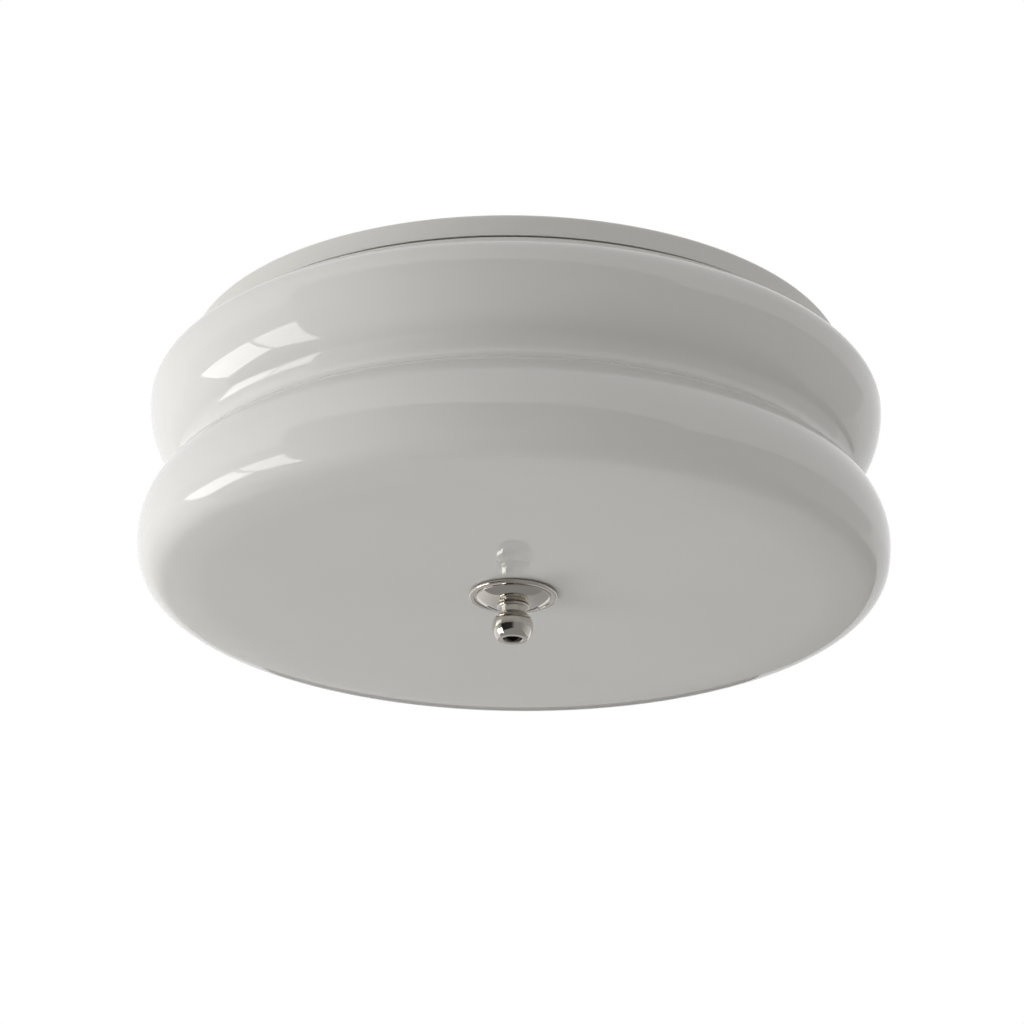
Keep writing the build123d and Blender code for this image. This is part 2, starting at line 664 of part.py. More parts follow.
earth_screw = Pos(0, 0, field_top_z) * Cylinder(
    earth_screw_radius, field_top_z - lug_z, align=(Align.CENTER, Align.CENTER, Align.MAX))
earth_head = Cylinder(earth_head_radius, earth_head_height, align=(Align.CENTER, Align.CENTER, Align.MAX))
earth_head = fillet(earth_head.edges().group_by(Axis.Z)[0], earth_head_round)
earth_head -= Pos(0, 0, -earth_head_height) * Box(earth_head_radius * 4, *earth_slot)
earth_screw += Pos(0, 0, lug_z) * earth_head
save("earth_screw", earth_place * earth_screw)


# ================================================================ leads
def lead(name, points):
    """Sleeve along straight runs joined by the largest arcs that the runs allow."""
    corners = [Vector(*point) for point in points]
    bends = []
    for before, corner, after in zip(corners, corners[1:], corners[2:]):
        run_in = corner - before
        run_out = after - corner
        half_turn = math.radians(run_in.get_angle(run_out)) / 2
        bends.append(lead_bend_share * min(run_in.length, run_out.length) / math.tan(half_turn))
    route = FilletPolyline(*points, radius=bends)
    section = Plane(origin=route @ 0, z_dir=route % 0) * Circle(lead_radius)
    sleeve = sweep(section, path=route)
    print(f"{name}: length {route.length:.0f}, tightest bend {min(bends):.1f}")
    return sleeve


def lamp_lead(name, angle, side, level, way):
    """Lead from a lampholder's rear port, up through the bracket, and along a plan route to the block."""
    start = Vector(tab_reach + port_depth - port_end_gap, side * lead_side, 0).rotate(Axis.Z, angle)
    riser = Vector(riser_reach, side * lead_side, 0).rotate(Axis.Z, angle)
    points = [(start.X, start.Y, lamp_axis_z), (riser.X, riser.Y, lamp_axis_z), (riser.X, riser.Y, level)]
    points += [(x, y, level) for x, y in way]
    points.append((way[-1][0], lead_end_y, level))
    return lead(name, points)


live_x = -pole_pitch
neutral_x = pole_pitch
back, left, right = lamp_angles
live_leads = [
    lamp_lead("live, back", back, 1, live_z, [(-12, -2), (-11.6, -24), (live_x, -44)]),
    lamp_lead("live, left", left, -1, live_z, [(-14.6, -24), (live_x - lead_pitch, -44)]),
    lamp_lead("live, right", right, -1, live_z, [(3.5, -26), (live_x + lead_pitch, -44)]),
]
neutral_leads = [
    lamp_lead("neutral, back", back, -1, neutral_z, [(7.4, -2), (7.0, -19), (neutral_x, -42)]),
    lamp_lead("neutral, left", left, 1, neutral_z, [(-3.5, -26), (neutral_x - lead_pitch, -44)]),
    lamp_lead("neutral, right", right, 1, neutral_z, [(14.6, -24), (neutral_x + lead_pitch, -44)]),
]
save("live_leads", Compound(children=live_leads))
save("neutral_leads", Compound(children=neutral_leads))

lug_line = [point_at((earth_x, earth_y), reach, lug_angle) for reach in (lug_end + 2, lug_reach + 1.5)]
earth_way = [(0, lead_end_y), (0, -50), (10, -43.5)] + lug_line
save("earth_lead", lead("earth", [(x, y, earth_z) for x, y in earth_way]))

# ================================================================ finial washer
finial_washer = turned_polygon([
    (tube_radius + loose_gap, washer_z),
    (washer_radius, washer_z),
    (washer_radius, glass_bottom_z),
    (washer_hub, glass_bottom_z),
    (washer_hub, glass_bottom_z + glass_wall - loose_gap),
    (tube_radius + loose_gap, glass_bottom_z + glass_wall - loose_gap),
])
save("finial_washer", finial_washer)

# ================================================================ finial plate
rim_top_z = glass_bottom_z - loose_gap
rim_low_z = rim_top_z - plate_rim_thick
rim_inner = plate_groove_radius + plate_groove_width / 2
groove_inner = plate_groove_radius - plate_groove_width / 2
groove_z = rim_low_z + plate_groove_width
dome_start = (plate_dome_radius, rim_low_z - plate_groove_width / 3)
dome_middle = (plate_dome_mid[0], washer_z - plate_dome_mid[1])
dome_end = (collar_radius, plate_low_z)
rim_round = plate_rim_round
finial_plate = turned([
    Line((tube_radius + loose_gap, washer_z), (washer_radius + loose_gap, washer_z)),
    Line((washer_radius + loose_gap, washer_z), (washer_radius + loose_gap, rim_top_z)),
    Line((washer_radius + loose_gap, rim_top_z), (plate_radius - rim_round, rim_top_z)),
    CenterArc((plate_radius - rim_round, rim_top_z - rim_round), rim_round, 90, -90),
    Line((plate_radius, rim_top_z - rim_round), (plate_radius, rim_low_z + rim_round)),
    CenterArc((plate_radius - rim_round, rim_low_z + rim_round), rim_round, 0, -90),
    Line((plate_radius - rim_round, rim_low_z), (rim_inner, rim_low_z)),
    Line((rim_inner, rim_low_z), (rim_inner, groove_z)),
    Line((rim_inner, groove_z), (groove_inner, groove_z)),
    Line((groove_inner, groove_z), dome_start),
    ThreePointArc(dome_start, dome_middle, dome_end),
    Line(dome_end, (tube_radius + loose_gap, plate_low_z)),
    Line((tube_radius + loose_gap, plate_low_z), (tube_radius + loose_gap, washer_z)),
])
save("finial_plate", finial_plate)

# ================================================================ finial knob
knob_bore = tube_radius + thread_gap
shoulder_middle = (ball_radius - ball_shoulder_curve, ball_z)
shoulder_turn = math.degrees(math.acos((neck_bar_radius - shoulder_middle[0]) / ball_shoulder_curve))
shoulder_top = point_at(shoulder_middle, ball_shoulder_curve, shoulder_turn)
foot_turn = math.degrees(math.asin(ball_foot / ball_radius))
foot_point = point_at((0, ball_z), ball_radius, -foot_turn)
collar_z = plate_low_z - collar_height
collar_round = collar_height / 2
knob_edges = [
    Line((knob_bore, plate_low_z), (collar_radius - collar_round, plate_low_z)),
    CenterArc((collar_radius - collar_round, plate_low_z - collar_round), collar_round, 90, -180),
    Line((collar_radius - collar_round, collar_z), (neck_bar_radius, collar_z)),
    Line((neck_bar_radius, collar_z), shoulder_top),
    CenterArc(shoulder_middle, ball_shoulder_curve, shoulder_turn, -shoulder_turn),
    CenterArc((0, ball_z), ball_radius, 0, -foot_turn),
    Line(foot_point, (knob_bore + finial_chamfer, ball_end_z)),
    Line((knob_bore + finial_chamfer, ball_end_z), (knob_bore, ball_end_z + finial_chamfer)),
    Line((knob_bore, ball_end_z + finial_chamfer), (knob_bore, plate_low_z)),
]
save("finial_knob", turned(knob_edges))

light_height = -ball_end_z
print(f"widest diameter {2 * low_bulge_radius:.1f}, height {light_height:.1f}")
print(f"glass from {glass_top_z:.2f} to {glass_bottom_z:.2f}, thread engaged {plate_low_z - tube_end_z:.2f}")
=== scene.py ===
import math

import bmesh
import bpy
from bpy.props import FloatProperty, FloatVectorProperty, PointerProperty
from mathutils import Matrix, Vector


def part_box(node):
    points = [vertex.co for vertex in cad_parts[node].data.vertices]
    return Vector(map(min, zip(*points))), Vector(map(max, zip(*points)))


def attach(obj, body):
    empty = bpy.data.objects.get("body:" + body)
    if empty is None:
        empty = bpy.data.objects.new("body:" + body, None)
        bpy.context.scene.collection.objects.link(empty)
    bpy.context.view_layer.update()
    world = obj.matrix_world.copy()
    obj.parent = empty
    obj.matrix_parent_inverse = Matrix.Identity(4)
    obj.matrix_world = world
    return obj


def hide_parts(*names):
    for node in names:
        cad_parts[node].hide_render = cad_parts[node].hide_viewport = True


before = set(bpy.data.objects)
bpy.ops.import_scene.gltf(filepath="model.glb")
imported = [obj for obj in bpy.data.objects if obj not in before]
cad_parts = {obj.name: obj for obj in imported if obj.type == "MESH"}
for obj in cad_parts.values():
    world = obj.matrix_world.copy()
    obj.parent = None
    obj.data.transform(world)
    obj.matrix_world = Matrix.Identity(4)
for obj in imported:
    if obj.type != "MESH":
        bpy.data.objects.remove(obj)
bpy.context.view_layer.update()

bl_info = {
    "name": "Flush Mount Ceiling Light",
    "version": (1, 0, 0),
    "blender": (4, 5, 0),
    "location": "3D View > Sidebar > Ceiling Light",
    "description": "Dresses the packed ceiling light with its glass, finial, bulbs, threads and finishes",
    "category": "Object",
}

# Metres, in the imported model's frame: z = 0 is the ceiling, and the light hangs down along -Z.
mm = 0.001
glass_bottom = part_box("glass_shade")[0][2]
glass_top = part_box("glass_shade")[1][2]
ball_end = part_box("finial_knob")[0][2]
plate_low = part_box("finial_knob")[1][2]
lamp_angles = (90.0, 210.0, 330.0)


# ---------------------------------------------------------------- sizes and colours
def linear(code):
    """Linear colour of an sRGB hex code."""
    values = [int(code[i:i + 2], 16) / 255 for i in (1, 3, 5)]
    return tuple(v / 12.92 if v <= 0.04045 else ((v + 0.055) / 1.055) ** 2.4 for v in values) + (1.0,)


def length(name, words, default):
    return FloatProperty(name=name, description=words, default=default, subtype="DISTANCE", unit="LENGTH")


def turn(name, words, default):
    return FloatProperty(name=name, description=words, default=math.radians(default), subtype="ANGLE",
                         unit="ROTATION")


def share(name, words, default):
    return FloatProperty(name=name, description=words, default=default, min=0.0, max=1.0, subtype="FACTOR")


def colour(name, words, code):
    return FloatVectorProperty(name=name, description=words, default=linear(code), size=4, min=0.0, max=1.0,
                               subtype="COLOR")


class GlassSizes(bpy.types.PropertyGroup):
    """Outline of the blown shade."""
    wall: length("Wall", "Thickness of the glass", 4.0 * mm)
    low_radius: length("Lower bulge", "Radius of the widest part", 200.0 * mm)
    low_z: length("Lower bulge height", "Height of the widest part", -110.02 * mm)
    top_radius: length("Upper bulge", "Radius of the upper bulge", 198.1 * mm)
    top_z: length("Upper bulge height", "Height of the upper bulge", -32.2 * mm)
    waist_radius: length("Waist", "Radius between the bulges", 178.2 * mm)
    waist_z: length("Waist height", "Height of the waist", -73.0 * mm)
    neck_radius: length("Neck", "Radius of the upright neck", 169.0 * mm)
    neck_curve: length("Neck hollow", "Radius between neck and shoulder", 2.5 * mm)
    shoulder_curve: length("Shoulder", "Radius of the broad shoulder", 87.2 * mm)
    top_curve: length("Upper bulge curve", "Radius of the arc above the upper bulge", 11.6 * mm)
    top_turn: turn("Upper bulge turn", "Angle that this arc turns", 48.8)
    upper_share: share("Upper share", "Share of the upper S taken by its bulging arc", 0.766)
    lower_share: share("Lower share", "Share of the lower S taken by its hollow arc", 0.15)
    under_curve: length("Under the bulge", "Radius just under the lower bulge", 45.0 * mm)
    under_turn: turn("Under turn", "Angle that this arc turns", 12.44)
    corner_curve: length("Lower rim", "Radius of the lower rim", 18.18 * mm)
    corner_turn: turn("Lower rim turn", "Angle that the rim turns", 70.0)
    bottom_curve: length("Bottom curve", "Radius that runs the rim out into the bottom", 143.6 * mm)
    seat: length("Seat", "Radius of the flat that the cover plate lies against", 25.0 * mm)
    hole_radius: length("Hole", "Radius of the hole for the tube", 7.5 * mm)
    colour: colour("Colour", "Colour of the opal glass", "#E4E3E0")


class PanSizes(bpy.types.PropertyGroup):
    """Pressed steel pan against the ceiling."""
    radius: length("Pan", "Radius at the ceiling", 179.3 * mm)
    taper: length("Taper", "How much narrower the skirt is at its lower edge", 0.8 * mm)
    depth: length("Depth", "Height of the skirt", 11.6 * mm)
    sheet: length("Sheet", "Thickness of the steel", 1.2 * mm)
    ring: length("Ceiling ring", "Width of the ring that bears on the ceiling", 30.0 * mm)
    slope: length("Slope", "Width of the slope from the ring to the field", 12.0 * mm)
    field: length("Field", "How far the middle stands off the ceiling", 9.0 * mm)
    bead: length("Bead", "Radius of the stamped stiffening bead", 118.0 * mm)
    bead_width: length("Bead width", "Width of that bead", 9.0 * mm)
    bead_depth: length("Bead depth", "Depth of that bead", 1.5 * mm)
    colour: colour("Colour", "Colour of the enamel", "#DDDCD7")


class FinialSizes(bpy.types.PropertyGroup):
    """Cover plate and ball finial."""
    plate_radius: length("Plate", "Radius of the cover plate", 23.7 * mm)
    rim_radius: length("Rolled rim", "Radius of the rim's round section", 1.1 * mm)
    groove_radius: length("Groove", "Radius of the groove inside the rim", 20.6 * mm)
    groove_width: length("Groove width", "Width of that groove", 0.9 * mm)
    collar_radius: length("Collar", "Radius of the collar under the plate", 8.7 * mm)
    collar_height: length("Collar height", "Height of the collar", 1.9 * mm)
    neck_radius: length("Neck", "Radius of the neck above the ball", 7.4 * mm)
    ball_radius: length("Ball", "Radius of the ball", 10.9 * mm)
    ball_drop: length("Ball drop", "From the plate's lowest face to the ball's widest ring", 11.8 * mm)
    shoulder_curve: length("Ball shoulder", "Radius above the ball's widest ring", 8.2 * mm)
    bore: length("Bore", "Radius of the hole for the tube", 5.05 * mm)
    chamfer: length("Chamfer", "Chamfer at the bore's mouth", 0.5 * mm)
    colour: colour("Colour", "Colour of the polished nickel", "#D3CEC6")


class LampSizes(bpy.types.PropertyGroup):
    """Screw-cap bulbs and the shells that they screw into."""
    reach: length("Reach", "From the light's axis to the face a lampholder stands on", 27.0 * mm)
    axis_z: length("Axis height", "Height of the lamps' axes", -44.0 * mm)
    tip_z: length("Tip", "From that face to the bulb's contact tip", 18.0 * mm)
    length: length("Length", "Bulb from its tip to its crown", 78.0 * mm)
    globe_radius: length("Globe", "Radius of the globe", 22.5 * mm)
    globe_wall: length("Globe wall", "Thickness of the diffuser", 1.2 * mm)
    seam_offset: length("Seam", "From the globe's centre back to its seam", 11.8 * mm)
    cap_radius: length("Cap", "Radius over the cap's thread", 13.2 * mm)
    thread_depth: length("Thread depth", "Depth of the rolled thread", 0.9 * mm)
    pitch: length("Thread pitch", "Pitch of the rolled thread", 3.6 * mm)
    shell_radius: length("Shell", "Inner radius of the threaded shell", 13.6 * mm)
    shell_length: length("Shell length", "Length of the threaded shell", 25.0 * mm)


class StageSizes(bpy.types.PropertyGroup):
    """Camera, room and floor."""
    camera_back: length("Camera back", "How far the camera stands in front of the light", 1291.85 * mm)
    camera_low: length("Camera low", "How far the camera is under the ceiling", 628.06 * mm)
    camera_pitch: FloatProperty(name="Camera pitch", description="How far the camera looks up", default=0.3995,
                                subtype="ANGLE", unit="ROTATION")
    camera_roll: FloatProperty(name="Camera roll", description="How far the camera leans", default=0.0145,
                               subtype="ANGLE", unit="ROTATION")
    lens: FloatProperty(name="Lens", description="Focal length on a 36 mm sensor", default=91.406,
                        unit="CAMERA")
    floor_z: length("Floor", "Height of the floor", -2.0)
    ambient: share("Ambient", "Grey of the room on the object", 0.24)
    floor_colour: colour("Floor colour", "Colour of the floor", "#E6E5E2")
    floor_white: share("Floor white", "Share of the floor's brightness that is plain white", 0.85)


# ---------------------------------------------------------------- mesh tools
class Outline:
    """A profile in the half plane of radius and height, drawn with straight steps and arcs."""

    def __init__(self, radius, height, fineness=6.0):
        self.mesh = bmesh.new()
        self.pen = self.mesh.verts.new((radius, 0.0, height))
        self.fineness = fineness

    def at(self):
        """Where the pen is: radius and height."""
        return self.pen.co.x, self.pen.co.z

    def line(self, radius, height, pieces=1):
        """Draws a straight step."""
        start = self.pen.co.copy()
        end = Vector((radius, 0.0, height))
        for i in range(pieces):
            new = bmesh.ops.extrude_vert_indiv(self.mesh, verts=[self.pen])["verts"][0]
            new.co = start.lerp(end, (i + 1) / pieces)
            self.pen = new

    def arc(self, radius, height, degrees):
        """Turns about a centre, anticlockwise from radius towards height where degrees is positive."""
        steps = max(2, math.ceil(abs(degrees) / self.fineness))
        swept = bmesh.ops.spin(self.mesh, geom=[self.pen], cent=(radius, 0.0, height), axis=(0.0, -1.0, 0.0),
                               angle=math.radians(degrees), steps=steps, use_merge=False, use_duplicate=False)
        self.pen = [item for item in swept["geom_last"] if isinstance(item, bmesh.types.BMVert)][0]

    def bend(self, corner, following, radius):
        """Runs towards a corner and rounds it on the way to the point that follows."""
        start = Vector(self.at())
        before = (Vector(corner) - start).normalized()
        after = (Vector(following) - Vector(corner)).normalized()
        angle = math.atan2(before.cross(after), before.dot(after))
        touch = Vector(corner) - before * radius * math.tan(abs(angle) / 2)
        side = math.copysign(radius, angle)
        self.line(*touch)
        self.arc(touch.x - before.y * side, touch.y + before.x * side, math.degrees(angle))

    def close(self):
        """Joins the last point to the first."""
        self.mesh.verts.ensure_lookup_table()
        self.mesh.edges.new((self.pen, self.mesh.verts[0]))

    def turned(self, around=96):
        """Spins the profile once about the light's axis and returns the mesh."""
        bmesh.ops.spin(self.mesh, geom=self.mesh.verts[:] + self.mesh.edges[:], cent=(0.0, 0.0, 0.0),
                       axis=(0.0, 0.0, 1.0), angle=math.tau, steps=around, use_merge=True, use_duplicate=False)
        bmesh.ops.remove_doubles(self.mesh, verts=self.mesh.verts[:], dist=0.01 * mm)
        bmesh.ops.recalc_face_normals(self.mesh, faces=self.mesh.faces[:])
        return self.mesh


def rolled_thread(mesh, wall, low, high, pitch, depth):
    """Presses a round helical thread into the wall at one radius, fading out at both ends."""
    reach = 0.1 * mm
    for vert in mesh.verts:
        radius = math.hypot(vert.co.x, vert.co.y)
        if abs(radius - wall) > reach or not low < vert.co.z < high:
            continue
        phase = (vert.co.z - low) / pitch - math.atan2(vert.co.y, vert.co.x) / math.tau
        fade = min(1.0, (vert.co.z - low) / pitch, (high - vert.co.z) / pitch)
        cut = depth * fade * (0.5 - 0.5 * math.cos(math.tau * phase))
        vert.co.x *= (radius - cut) / radius
        vert.co.y *= (radius - cut) / radius


def lamp_places():
    """Matrices that lay a part made along +Z outwards along each lamp's axis."""
    sizes = bpy.context.scene.light_lamps
    lie = Matrix.Translation((sizes.reach, 0.0, sizes.axis_z)) @ Matrix.Rotation(math.pi / 2, 4, "Y")
    return [Matrix.Rotation(math.radians(angle), 4, "Z") @ lie for angle in lamp_angles]


def add_object(name, mesh, *materials):
    """Makes an object of a bmesh, which it uses up, and gives it its finish."""
    data = bpy.data.meshes.new(name)
    mesh.to_mesh(data)
    mesh.free()
    for material in materials:
        data.materials.append(material)
    made = bpy.data.objects.new(name, data)
    bpy.context.scene.collection.objects.link(made)
    return made


def smooth(data, sharp):
    """Shades a mesh smooth, but for the edges that bend by more than some degrees."""
    data.shade_smooth()
    data.set_sharp_from_angle(angle=math.radians(sharp))


def add_piece(name, mesh, material, body, slot, *nodes, sharp=35.0):
    """Makes a smooth piece of a bmesh and hands it to its body, in the place of the nodes it replaces."""
    piece = add_object(name, mesh, material)
    smooth(piece.data, sharp)
    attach(piece, body)
    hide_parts(*nodes)
    return piece


# ---------------------------------------------------------------- material tools
def add_node(tree, kind, inputs=None, **settings):
    """Adds a node, sets it, and sets or links its inputs."""
    node = tree.nodes.new(kind)
    for key, value in settings.items():
        setattr(node, key, value)
    for key, value in (inputs or {}).items():
        if isinstance(value, bpy.types.NodeSocket):
            tree.links.new(value, node.inputs[key])
        else:
            node.inputs[key].default_value = value
    return node


def start_material(name, coordinates="Object"):
    """A new material with its tree, its coordinates and no surface yet."""
    finish = bpy.data.materials.new(name)
    finish.use_nodes = True
    finish.node_tree.nodes.clear()
    where = add_node(finish.node_tree, "ShaderNodeTexCoord").outputs[coordinates]
    return finish, finish.node_tree, where


def end_material(tree, shader):
    """Joins a shader to the material's output."""
    add_node(tree, "ShaderNodeOutputMaterial", {"Surface": shader.outputs[0]})


def opal_glass(body):
    """White opal glass, blown: an even milky body under a wet fire-polished skin that waves very slightly."""
    finish, tree, where = start_material("opal_glass")
    # Blown glass waves over about 45 mm, a few hundredths of a millimetre deep.
    wave = add_node(tree, "ShaderNodeTexNoise", {
        "Vector": where, "Scale": 22.0, "Detail": 1.0, "Roughness": 0.4})
    skin = add_node(tree, "ShaderNodeBump", {
        "Height": wave.outputs["Fac"], "Strength": 0.35, "Distance": 0.12 * mm})
    # The opal's density drifts by 1.5% over about 80 mm.
    drift = add_node(tree, "ShaderNodeTexNoise", {"Vector": where, "Scale": 12.0, "Detail": 2.0})
    tint = add_node(tree, "ShaderNodeValToRGB", {"Fac": drift.outputs["Fac"]})
    tint.color_ramp.elements[0].position = 0.35
    tint.color_ramp.elements[0].color = tuple(v * 0.985 for v in body[:3]) + (1.0,)
    tint.color_ramp.elements[1].position = 0.65
    tint.color_ramp.elements[1].color = body
    surface = add_node(tree, "ShaderNodeBsdfPrincipled", {
        "Base Color": tint.outputs["Color"], "Roughness": 0.045, "IOR": 1.52,
        "Normal": skin.outputs["Normal"]})
    end_material(tree, surface)
    return finish


def white_enamel(body):
    """White stoving enamel on sheet steel: semi-gloss, with the faint orange peel of sprayed paint."""
    finish, tree, where = start_material("white_enamel")
    # Orange peel is about 1.5 mm across: drawn at 2.5 mm so that it shows.
    peel = add_node(tree, "ShaderNodeTexNoise", {"Vector": where, "Scale": 400.0, "Detail": 2.0})
    skin = add_node(tree, "ShaderNodeBump", {
        "Height": peel.outputs["Fac"], "Strength": 0.25, "Distance": 0.05 * mm})
    surface = add_node(tree, "ShaderNodeBsdfPrincipled", {
        "Base Color": body, "Roughness": 0.32, "IOR": 1.5, "Normal": skin.outputs["Normal"]})
    end_material(tree, surface)
    return finish


def metal(name, body, roughness, spread, grain, depth):
    """Plated or bare metal: a mirror broken up by faint grain, whose size and depth are real ones."""
    finish, tree, where = start_material(name)
    texture = add_node(tree, "ShaderNodeTexNoise", {"Vector": where, "Scale": 1.0 / grain, "Detail": 3.0})
    rough = add_node(tree, "ShaderNodeMapRange", {
        "Value": texture.outputs["Fac"], "From Min": 0.3, "From Max": 0.7,
        "To Min": roughness - spread, "To Max": roughness + spread})
    skin = add_node(tree, "ShaderNodeBump", {
        "Height": texture.outputs["Fac"], "Strength": 0.3, "Distance": depth})
    surface = add_node(tree, "ShaderNodeBsdfPrincipled", {
        "Base Color": body, "Metallic": 1.0, "Roughness": rough.outputs["Result"],
        "Normal": skin.outputs["Normal"]})
    end_material(tree, surface)
    return finish


def moulded(name, body, roughness, ior, grain, depth, fleck=0.03):
    """Moulded plastic, rubber, foam or glass: a fine skin, and a colour uneven by the share of fleck."""
    finish, tree, where = start_material(name)
    texture = add_node(tree, "ShaderNodeTexNoise", {"Vector": where, "Scale": 1.0 / grain, "Detail": 3.0})
    tint = add_node(tree, "ShaderNodeValToRGB", {"Fac": texture.outputs["Fac"]})
    tint.color_ramp.elements[0].position = 0.3
    tint.color_ramp.elements[0].color = tuple(v * (1 - fleck) for v in body[:3]) + (1.0,)
    tint.color_ramp.elements[1].position = 0.7
    tint.color_ramp.elements[1].color = body
    skin = add_node(tree, "ShaderNodeBump", {
        "Height": texture.outputs["Fac"], "Strength": 0.4, "Distance": depth})
    surface = add_node(tree, "ShaderNodeBsdfPrincipled", {
        "Base Color": tint.outputs["Color"], "Roughness": roughness, "IOR": ior,
        "Normal": skin.outputs["Normal"]})
    end_material(tree, surface)
    return finish


def earth_sleeve(level):
    """Silicone sleeve in green with a yellow stripe along its top, as an earth lead has."""
    finish, tree, where = start_material("earth_sleeve")
    height = add_node(tree, "ShaderNodeSeparateXYZ", {"Vector": where}).outputs["Z"]
    above = add_node(tree, "ShaderNodeMath", {0: height, 1: level}, operation="GREATER_THAN")
    stripe = add_node(tree, "ShaderNodeMix", {
        "Factor": above.outputs[0], "A": linear("#2F8F3A"), "B": linear("#E3C92B")}, data_type="RGBA")
    surface = add_node(tree, "ShaderNodeBsdfPrincipled", {
        "Base Color": stripe.outputs["Result"], "Roughness": 0.5, "IOR": 1.43})
    end_material(tree, surface)
    return finish


# ---------------------------------------------------------------- the pieces
def s_bend(radius_a, z_a, radius_b, z_b):
    """Total radius and half turn of two arcs between two upright tangents."""
    step = abs(radius_b - radius_a)
    drop = z_a - z_b
    total = (step * step + drop * drop) / (2 * step)
    return total, math.degrees(math.atan2(drop, total - step))


def on_circle(centre, radius, degrees):
    """Point on a circle in the half plane."""
    angle = math.radians(degrees)
    return centre[0] + radius * math.cos(angle), centre[1] + radius * math.sin(angle)


class LIGHT_OT_glass(bpy.types.Operator):
    """Turn the double-bulge opal shade, inside and out, from tangent arcs"""
    bl_idname = "light.glass"
    bl_label = "Opal shade"

    def execute(self, context):
        g = context.scene.light_glass
        upper, upper_turn = s_bend(g.top_radius, g.top_z, g.waist_radius, g.waist_z)
        lower, lower_turn = s_bend(g.waist_radius, g.waist_z, g.low_radius, g.low_z)
        top_turn = math.degrees(g.top_turn)
        under_turn = math.degrees(g.under_turn)
        rim_turn = under_turn + math.degrees(g.corner_turn)
        bulge = (g.top_radius - g.top_curve, g.top_z)
        shoulder = on_circle(on_circle(bulge, g.top_curve, top_turn), -g.shoulder_curve, top_turn)
        neck_turn = math.degrees(math.acos(
            (g.neck_radius + g.neck_curve - shoulder[0]) / (g.shoulder_curve + g.neck_curve)))
        neck = on_circle(shoulder, g.shoulder_curve + g.neck_curve, neck_turn)
        under = (g.low_radius - g.under_curve, g.low_z)
        corner = on_circle(on_circle(under, g.under_curve, -under_turn), -g.corner_curve, -under_turn)
        bottom = on_circle(on_circle(corner, g.corner_curve, -rim_turn), -g.bottom_curve, -rim_turn)
        upper_waist = g.waist_radius + upper * (1 - g.upper_share)
        lower_waist = g.waist_radius + lower * g.lower_share
        upper_round = g.top_radius - upper * g.upper_share
        lower_round = g.low_radius - lower * (1 - g.lower_share)
        lip = 0.8 * mm
        # Centres and turns from the neck down to the lower rim: the inside has the same centres.
        bends = (
            (neck, neck_turn),
            (shoulder, top_turn - neck_turn),
            (bulge, -top_turn),
            ((upper_round, g.top_z), -upper_turn),
            ((upper_waist, g.waist_z), upper_turn),
            ((lower_waist, g.waist_z), lower_turn),
            ((lower_round, g.low_z), -lower_turn),
            (under, -under_turn),
            (corner, under_turn - rim_turn),
        )
        coarse, medium, fine, finest = 15.0, 5.0, 3.0, 0.5
        seat_steps = 12

        # Down the outside from the ground top edge, then back up the inside.
        line = Outline(g.neck_radius - lip, glass_top, fine)
        line.arc(g.neck_radius - lip, glass_top - lip, -90.0)
        line.line(g.neck_radius, neck[1])
        for centre, degrees in bends:
            line.arc(*centre, degrees)
        line.fineness = finest
        line.arc(*bottom, rim_turn - 90.0)
        # The bottom rises a little towards the flat seat of the cover plate.
        line.line(g.seat, glass_bottom, seat_steps)
        line.line(g.hole_radius + lip, glass_bottom)
        line.fineness = coarse
        line.arc(g.hole_radius + lip, glass_bottom + lip, -90.0)
        line.line(g.hole_radius, glass_bottom + g.wall)
        line.line(g.seat, glass_bottom + g.wall)
        line.line(bottom[0], bottom[1] - g.bottom_curve + g.wall, seat_steps)
        line.fineness = finest
        line.arc(*bottom, 90.0 - rim_turn)
        line.fineness = medium
        for centre, degrees in reversed(bends):
            line.arc(*centre, -degrees)
        line.line(g.neck_radius - g.wall, glass_top - lip)
        line.arc(g.neck_radius - g.wall + lip, glass_top - lip, -90.0)
        line.close()
        add_piece("opal_shade", line.turned(216), opal_glass(tuple(g.colour)), "shade", "opal_glass",
                  "glass_shade", sharp=60.0)
        return {"FINISHED"}


def beside(points, distance):
    """The points of a line of straight steps, moved to its right by one distance."""
    steps = [(Vector(b) - Vector(a)).normalized() for a, b in zip(points, points[1:])]
    sides = [Vector((step.y, -step.x)) for step in steps]
    moved = []
    for point, one, other in zip(points, sides[:1] + sides, sides + sides[-1:]):
        moved.append(Vector(point) + (one + other) * distance / (1 + one.dot(other)))
    return moved


